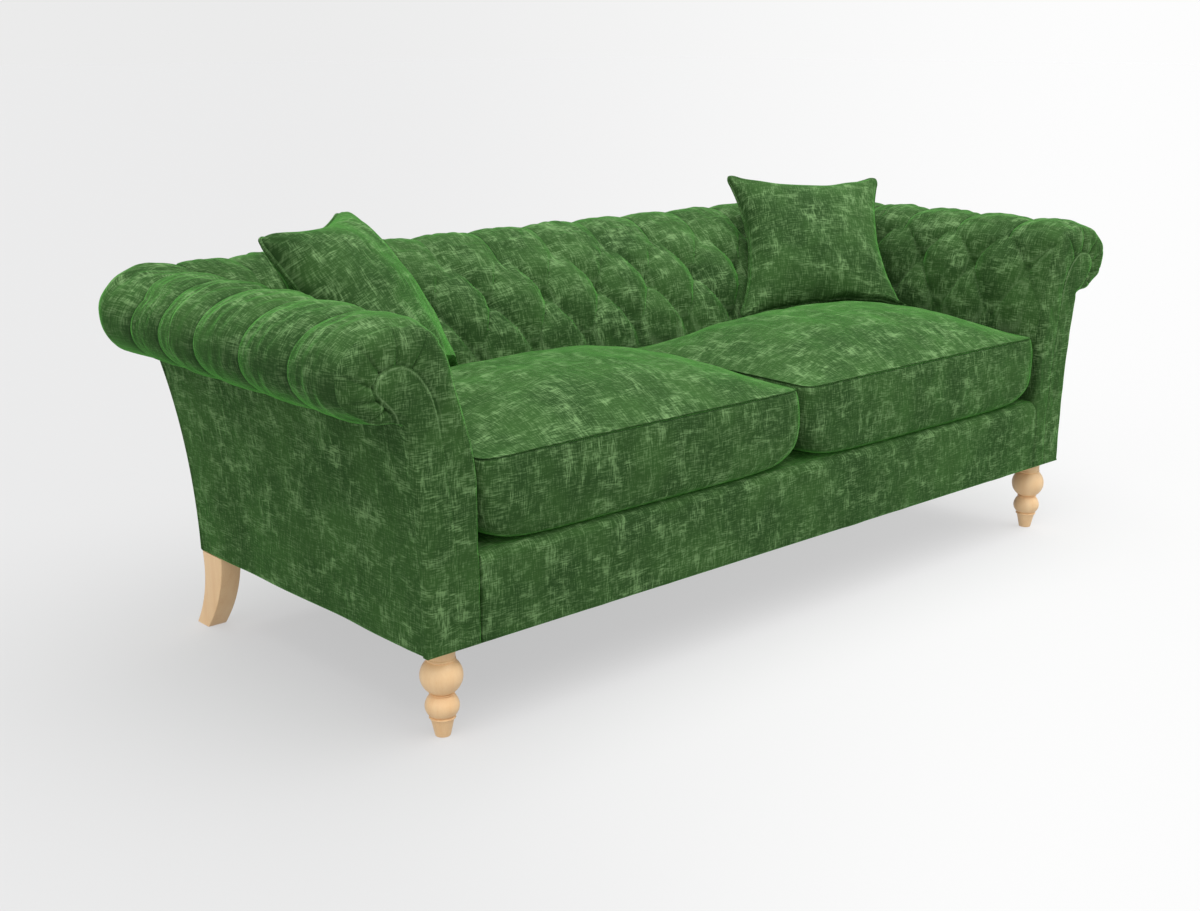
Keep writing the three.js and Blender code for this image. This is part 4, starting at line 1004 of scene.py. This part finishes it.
# A scatter cushion: two sheets over one square, whose sides draw in between the corners, and which
# swell as powers of the distance from the sides. Rays to the seat, the back and the arm lift it and
# press it thin where it rests.
def addScatter(hand, own):
    side, half = own["side"], own["size"] / 2
    turn = Matrix.Rotation(math.radians(-side * own["turn"]), 3, "Z")
    turn = turn @ Matrix.Rotation(math.radians(-own["tip"]), 3, "X")
    turn = turn @ Matrix.Rotation(math.radians(own["spin"]), 3, "Y")
    middle = Vector((side * (seatHalf - own["fromArm"]), insideBack - own["fromBack"] + shiftY,
                     own["height"]))
    middle += turn @ Vector((0, own["set"], 0))
    seatTree = restSurfaces([f"{hand}_seat_cover"])
    allTree = restSurfaces([f"{hand}_seat_cover", "back_upholstery", f"{hand}_arm_upholstery"])
    share = np.sin(np.pi / 2 * np.linspace(-1, 1, scatter["grid"] + 1))
    u, v = np.meshgrid(share, share, indexing="ij")
    across, up = roundCorners(u, v, scatter["corner"])
    x = half * across * (1 - own["sideDip"] * (1 - v * v) * np.abs(u)) * (1 - own["spread"] * v)
    z = half * up * (1 - own["topDip"] * (1 - u * u) * np.abs(v))
    fronts = (1 - u * u) ** own["thinAcross"] * (1 - v * v) ** own["thinUp"]
    backs = ((1 - u * u) * (1 - v * v)) ** scatter["backPower"]
    wave = scatter["wave"] * ripple(71 + side, x, z, scatter["waveLength"])
    wave = wave * np.clip(fronts * 4, 0, 1)

    # The cloth gathers in rays round each corner.
    fromU, fromV = 1 - np.abs(u), 1 - np.abs(v)
    ray, far = np.arctan2(fromV + 1e-6, fromU + 1e-6), np.hypot(fromU, fromV) * half
    gathers = scatter["gather"] * np.sin(ray * 11 + 2 * np.sign(u) + np.sign(v))
    gathers = gathers * np.exp(-far / scatter["gatherFade"]) * smooth(0, 0.02, far)

    sheets, seam = np.zeros((2, *x.shape, 3)), np.zeros((*x.shape, 3))
    swells = (own["front"] * fronts, own["back"] * backs)
    for sheet, swell, out in zip(sheets, swells, (Vector((0, -1, 0)), Vector((0, 1, 0)))):
        out = turn @ out
        thick = scatter["rim"] + swell + wave + gathers
        for at in np.ndindex(x.shape):
            point = turn @ Vector((x[at], 0, z[at])) + middle
            above = Vector((point.x, point.y, boardTop))
            hit = seatTree.ray_cast(above, Vector((0, 0, -1)))[0]
            if hit is not None:
                point.z = max(point.z, hit.z + 2 * scatter["clear"] + scatter["piping"])
            room = allTree.ray_cast(point, out)[3]
            pressed = thick[at] if room is None else min(thick[at], room - scatter["clear"])
            sheet[at] = point + out * pressed
            seam[at] = point

    # Both sheets' cells, and the narrow band between their edges.
    front, behind = np.arange(2 * x.size).reshape(2, *x.shape).swapaxes(1, 2)
    cloth = joined(x.T, z.T) + [23 + side * 3, 2]
    near, away, start = rimOf(front), rimOf(behind), rimOf(cloth)
    after = np.roll(start, -1, axis=0)
    band = np.stack([near, away, np.roll(away, -1), np.roll(near, -1)], 1)
    faces = np.concatenate([cellsOf(front), cellsOf(behind)[:, ::-1], band])
    flat = cellsOf(cloth)
    bandCloth = np.stack([start, start, after, after], 1)
    places = np.concatenate([flat, flat[:, ::-1] + [2, 0], bandCloth])
    shift = [0, shiftY, 0]
    points = sheets.reshape(-1, 3) - shift
    if insideOut(points, faces):
        faces, places = faces[:, ::-1], places[:, ::-1]
    edge = np.exp(-np.minimum(fromU, fromV) * half / scatter["edgeWidth"]) * scatter["edgeMark"]
    soft = {"body": f"{hand}_scatter", **inVelvet}
    meshFrom({"name": f"{hand}_scatter_cover", "nodes": [f"{hand}_scatter_cushion"],
              "fill": scatter["fill"], **soft}, points, faces.tolist(), places, [edge, edge])
    addPiping({"name": f"{hand}_scatter_piping", **soft}, rimOf(seam.swapaxes(0, 1)) - shift)


# The cord sewn into a scatter cushion's edge: a round tube along a closed path, whose section
# stands square to the path.
def addPiping(info, path):
    kept = [path[0]]
    for point in path[1:]:
        if np.linalg.norm(point - kept[-1]) > 0.0018:
            kept.append(point)
    path = np.array(kept)
    tangent = np.roll(path, -1, axis=0) - np.roll(path, 1, axis=0)
    tangent /= np.linalg.norm(tangent, axis=1)[:, None]
    centre = path.mean(axis=0)
    facing = np.cross(path - centre, tangent)
    facing /= np.linalg.norm(facing, axis=1)[:, None]
    outward = np.cross(tangent, facing)
    sides, r = scatter["cordSides"], scatter["piping"]
    angle = (np.arange(sides) / sides * 2 * np.pi)[:, None]
    spokes = np.cos(angle) * facing[:, None] + np.sin(angle) * outward[:, None]
    points = (path[:, None] + r * spokes).reshape(-1, 3)
    steps = np.linalg.norm(np.diff(path, axis=0), axis=1)
    along = np.concatenate([[0], np.cumsum(steps), [steps.sum() + 0.002]])
    index = np.pad(np.arange(len(points)).reshape(-1, sides), ((0, 1), (0, 1)), mode="wrap")
    faces = cellsOf(index.T)
    places = cellsOf(np.swapaxes(joined(along[:, None], 0.0023 * np.arange(sides + 1)), 0, 1))
    if insideOut(points - centre, faces):
        faces, places = faces[:, ::-1], places[:, ::-1]
    meshFrom(info, points, faces.tolist(), places, np.full(len(points), scatter["cordMark"]))


for hand, own in scatterPlaces.items():
    addScatter(hand, own)

print("stage: legs")
# Crisp is the turn, in degrees, from which an edge stays sharp.
leg = {"inset": 0.056, "frontInset": 0.046, "top": underside - gap, "sides": 64, "crisp": 50}

# Radii, depths and the ball's height in metres. From and to are shares of the leg's height.
turned = {
    "foot": {"radius": 0.014, "chamfer": 0.002, "from": 0.012, "to": 0.182},
    "groove": {"radius": 0.0203, "from": 0.190},
    "ring": {"radius": 0.0238, "from": 0.192, "to": 0.228, "depth": 0.0032},
    "lower": {"ankle": 0.021, "radius": 0.0305, "neck": 0.0200, "from": 0.231, "to": 0.470},
    "fillet": {"radius": 0.0225, "from": 0.472, "to": 0.490, "depth": 0.0024},
    "ball": {"radius": 0.0380, "height": 0.1125, "squash": 0.97},
    "collar": {"radius": 0.0262, "from": 0.848, "to": 0.880, "depth": 0.0016},
    "stem": {"radius": 0.0250, "from": 0.884},
}
swept = {"width": 0.045, "depth": 0.075, "footWidth": 0.041, "footDepth": 0.046, "outset": 0.003,
         "backInset": 0.006, "kick": 0.074, "chamfer": 0.0022}


# The turned leg's half outline from the foot up, as radius and height: straight cones, beads that
# stand out in half a sine wave, a bulb whose swell is a sine wave to a power, and a round ball.
def turnedOutline():
    def bead(own):
        t = np.linspace(0, np.pi, 9)
        return joined(own["radius"] - own["depth"] + own["depth"] * np.sin(t) ** 0.7,
                      mix(own["from"], own["to"], t / np.pi))

    foot, groove, lower, ball = (turned[part] for part in ("foot", "groove", "lower", "ball"))
    stem, collar = turned["stem"], turned["collar"]
    t = np.linspace(0, 1, 26)
    swell = np.sin(np.pi * t**0.88) ** 0.75
    bulb = joined(mix(mix(lower["ankle"], lower["neck"], t), lower["radius"], swell),
                  mix(lower["from"], lower["to"], t))
    low, high = lower["neck"] / ball["radius"], collar["radius"] / ball["radius"]
    turn = np.linspace(-math.acos(low), math.acos(high), 36)
    rise = ball["squash"] * ball["radius"] * np.sin(turn)
    outline = np.concatenate([
        [[foot["radius"] - foot["chamfer"], 0.0], [foot["radius"] - 0.0004, 0.004],
         [foot["radius"], foot["from"]]],
        joined(np.linspace(foot["radius"], groove["radius"], 12),
               np.linspace(foot["from"], foot["to"], 12))[1:],
        [[groove["radius"], groove["from"]]],
        bead(turned["ring"]),
        bulb,
        bead(turned["fillet"]),
        joined(ball["radius"] * np.cos(turn), (ball["height"] + rise) / leg["top"]),
        bead(collar),
        [[stem["radius"], stem["from"]], [stem["radius"], 1.0]],
    ])
    return outline * [1, leg["top"]]


# The outline turned round the leg's axis.
def addTurnedLeg(info, mirror):
    radius, height = turnedOutline().T[..., None]
    angle = np.arange(leg["sides"]) / leg["sides"] * 2 * np.pi
    grid = joined(bodyHalf - leg["inset"] + radius * np.cos(angle),
                  frontFace + leg["frontInset"] + radius * np.sin(angle), height)
    cloth = joined(np.linspace(0, 0.2, leg["sides"] + 1), height)
    loft(info, grid, cloth, mirror=mirror, sharp=leg["crisp"])


# A rectangle with rounded corners, carried from the top down to the foot: it grows smaller evenly,
# and its front goes back as the square of the way down.
def addSweptLeg(info, mirror):
    drop = np.linspace(0, 1, 40)[:, None]
    x = bodyHalf - swept["outset"] - swept["width"] / 2
    half = mix(swept["width"], swept["footWidth"], drop) / 2
    front = backFace - swept["backInset"] - swept["depth"] + swept["kick"] * drop**2
    back = front + mix(swept["depth"], swept["footDepth"], drop)
    c = swept["chamfer"]
    corners = ((x + half - c, back - c), (x - half + c, back - c),
               (x - half + c, front + c), (x + half - c, front + c))
    turns = np.linspace(0, np.pi / 2, 5)
    grid = np.concatenate([
        joined(cx + c * np.cos(turns + k * np.pi / 2), cy + c * np.sin(turns + k * np.pi / 2),
               leg["top"] * (1 - drop))
        for k, (cx, cy) in enumerate(corners)], 1)
    cloth = np.zeros((grid.shape[0], grid.shape[1] + 1, 2))
    loft(info, grid, cloth, mirror=mirror, sharp=leg["crisp"])


for side, hand in hands:
    addTurnedLeg({"name": f"{hand}_turned_leg", "nodes": [f"{hand}_front_leg"], **inBeech},
                 side < 0)
    addSweptLeg({"name": f"{hand}_swept_leg", "nodes": [f"{hand}_back_leg"], **inBeech}, side < 0)

print("stage: floor, light and camera")
# The floor and the backdrop grow lighter from left to right, by the slant of the way to each place
# from one point before the sofa.
fade = {"point": (-2.3685, -2.4409), "turn": -42.1, "left": -0.24, "right": 0.34,
        "floorNearest": 1.9, "skyNearest": 0.2}

# The floor's colour and its glow, from the left to the right. The backdrop's tones are from 0 to
# 255, as on a screen.
floorTones = {"reach": 60, "dark": (0.23, 0.23, 0.231, 1), "light": (0.27, 0.27, 0.27, 1),
              "glowDark": (0.493, 0.493, 0.494, 1), "glowLight": (0.584, 0.584, 0.584, 1),
              "unseen": (0.24, 0.24, 0.24, 1)}
skyTones = {"dark": 235, "light": 253, "ambient": 0.33}


# How light a place is, from 0 to 1: its way to the right over its way ahead, between two slants.
def fadeAcross(x, y, nearest):
    turn = math.radians(fade["turn"])
    ahead = (y * math.cos(turn) - x * math.sin(turn)).atLeast(nearest)
    sideways = x * math.cos(turn) + y * math.sin(turn)
    return (sideways / ahead).ramp(fade["left"], fade["right"])


# A plain floor, whose own glow only shows to what sees it and lights the sofa less.
def addFloor():
    look = Look("floor", {"Roughness": 0.9, "Specular IOR Level": 0.0, "Emission Strength": 1.0})
    x, y = look.place()[:2]
    across = fadeAcross(x - fade["point"][0], y - fade["point"][1], fade["floorNearest"])
    glow = look.blend(across, floorTones["glowDark"], floorTones["glowLight"])
    look.feed("Base Color", look.blend(across, floorTones["dark"], floorTones["light"]))
    look.feed("Emission Color", look.blend(look.seenRays(), floorTones["unseen"], glow))
    reach = floorTones["reach"]
    corners = [(-reach, -reach, 0), (reach, -reach, 0), (reach, reach, 0), (-reach, reach, 0)]
    mesh = bpy.data.meshes.new("floor")
    mesh.from_pydata(corners, [], [(0, 1, 2, 3)])
    mesh.materials.append(look.material)
    floor = bpy.data.objects.new("floor", mesh)
    bpy.context.scene.collection.objects.link(floor)


# The backdrop is what is seen, and an even soft light is what reaches the sofa.
def addSky():
    world = bpy.data.worlds.new("studio")
    world.use_nodes = True
    bpy.context.scene.world = world
    sky = Tree(world.node_tree)
    sky.tree.nodes.clear()
    x, y = sky.split(sky.field("ShaderNodeTexCoord", {}, {}, "Generated"))[:2]
    dark, light = (screen(*[skyTones[tone]] * 3)[0] for tone in ("dark", "light"))
    shade = fadeAcross(x, y, fade["skyNearest"]) * (light - dark) + dark
    backdrop = sky.field("ShaderNodeBackground", {}, {"Color": shade})
    evenly = {"Color": (1, 1, 1, 1), "Strength": skyTones["ambient"]}
    ambient = sky.field("ShaderNodeBackground", {}, evenly)
    pick = sky.field("ShaderNodeMixShader", {}, {0: sky.seenRays(), 1: ambient, 2: backdrop})
    sky.node("ShaderNodeOutputWorld", {}, {"Surface": pick})


addFloor()
addSky()

# Angles in degrees. Each lamp is wide, so its shadows are soft.
lamps = [
    {"name": "key", "energy": 3.3, "angle": 80, "turn": (10, 9, 0)},
    {"name": "side", "energy": 1.0, "angle": 70, "turn": (68, 0, -66)},
]
for lamp in lamps:
    light = bpy.data.lights.new(lamp["name"], "SUN")
    light.energy, light.angle = lamp["energy"], math.radians(lamp["angle"])
    holder = bpy.data.objects.new(lamp["name"], light)
    holder.rotation_euler = [math.radians(a) for a in lamp["turn"]]
    bpy.context.scene.collection.objects.link(holder)

view = {"place": (-2.3679, -2.3877, 1.1769), "turn": (74.925, 0, -42.10), "lens": 46.88,
        "sensor": 36}
lens = bpy.data.cameras.new("camera")
lens.lens, lens.sensor_width = view["lens"], view["sensor"]
camera = bpy.data.objects.new("camera", lens)
camera.location = Vector(view["place"]) + Vector((0, shiftY, 0))
camera.rotation_euler = [math.radians(a) for a in view["turn"]]
bpy.context.scene.collection.objects.link(camera)
bpy.context.scene.camera = camera
bpy.context.scene.view_settings.view_transform = "Standard"
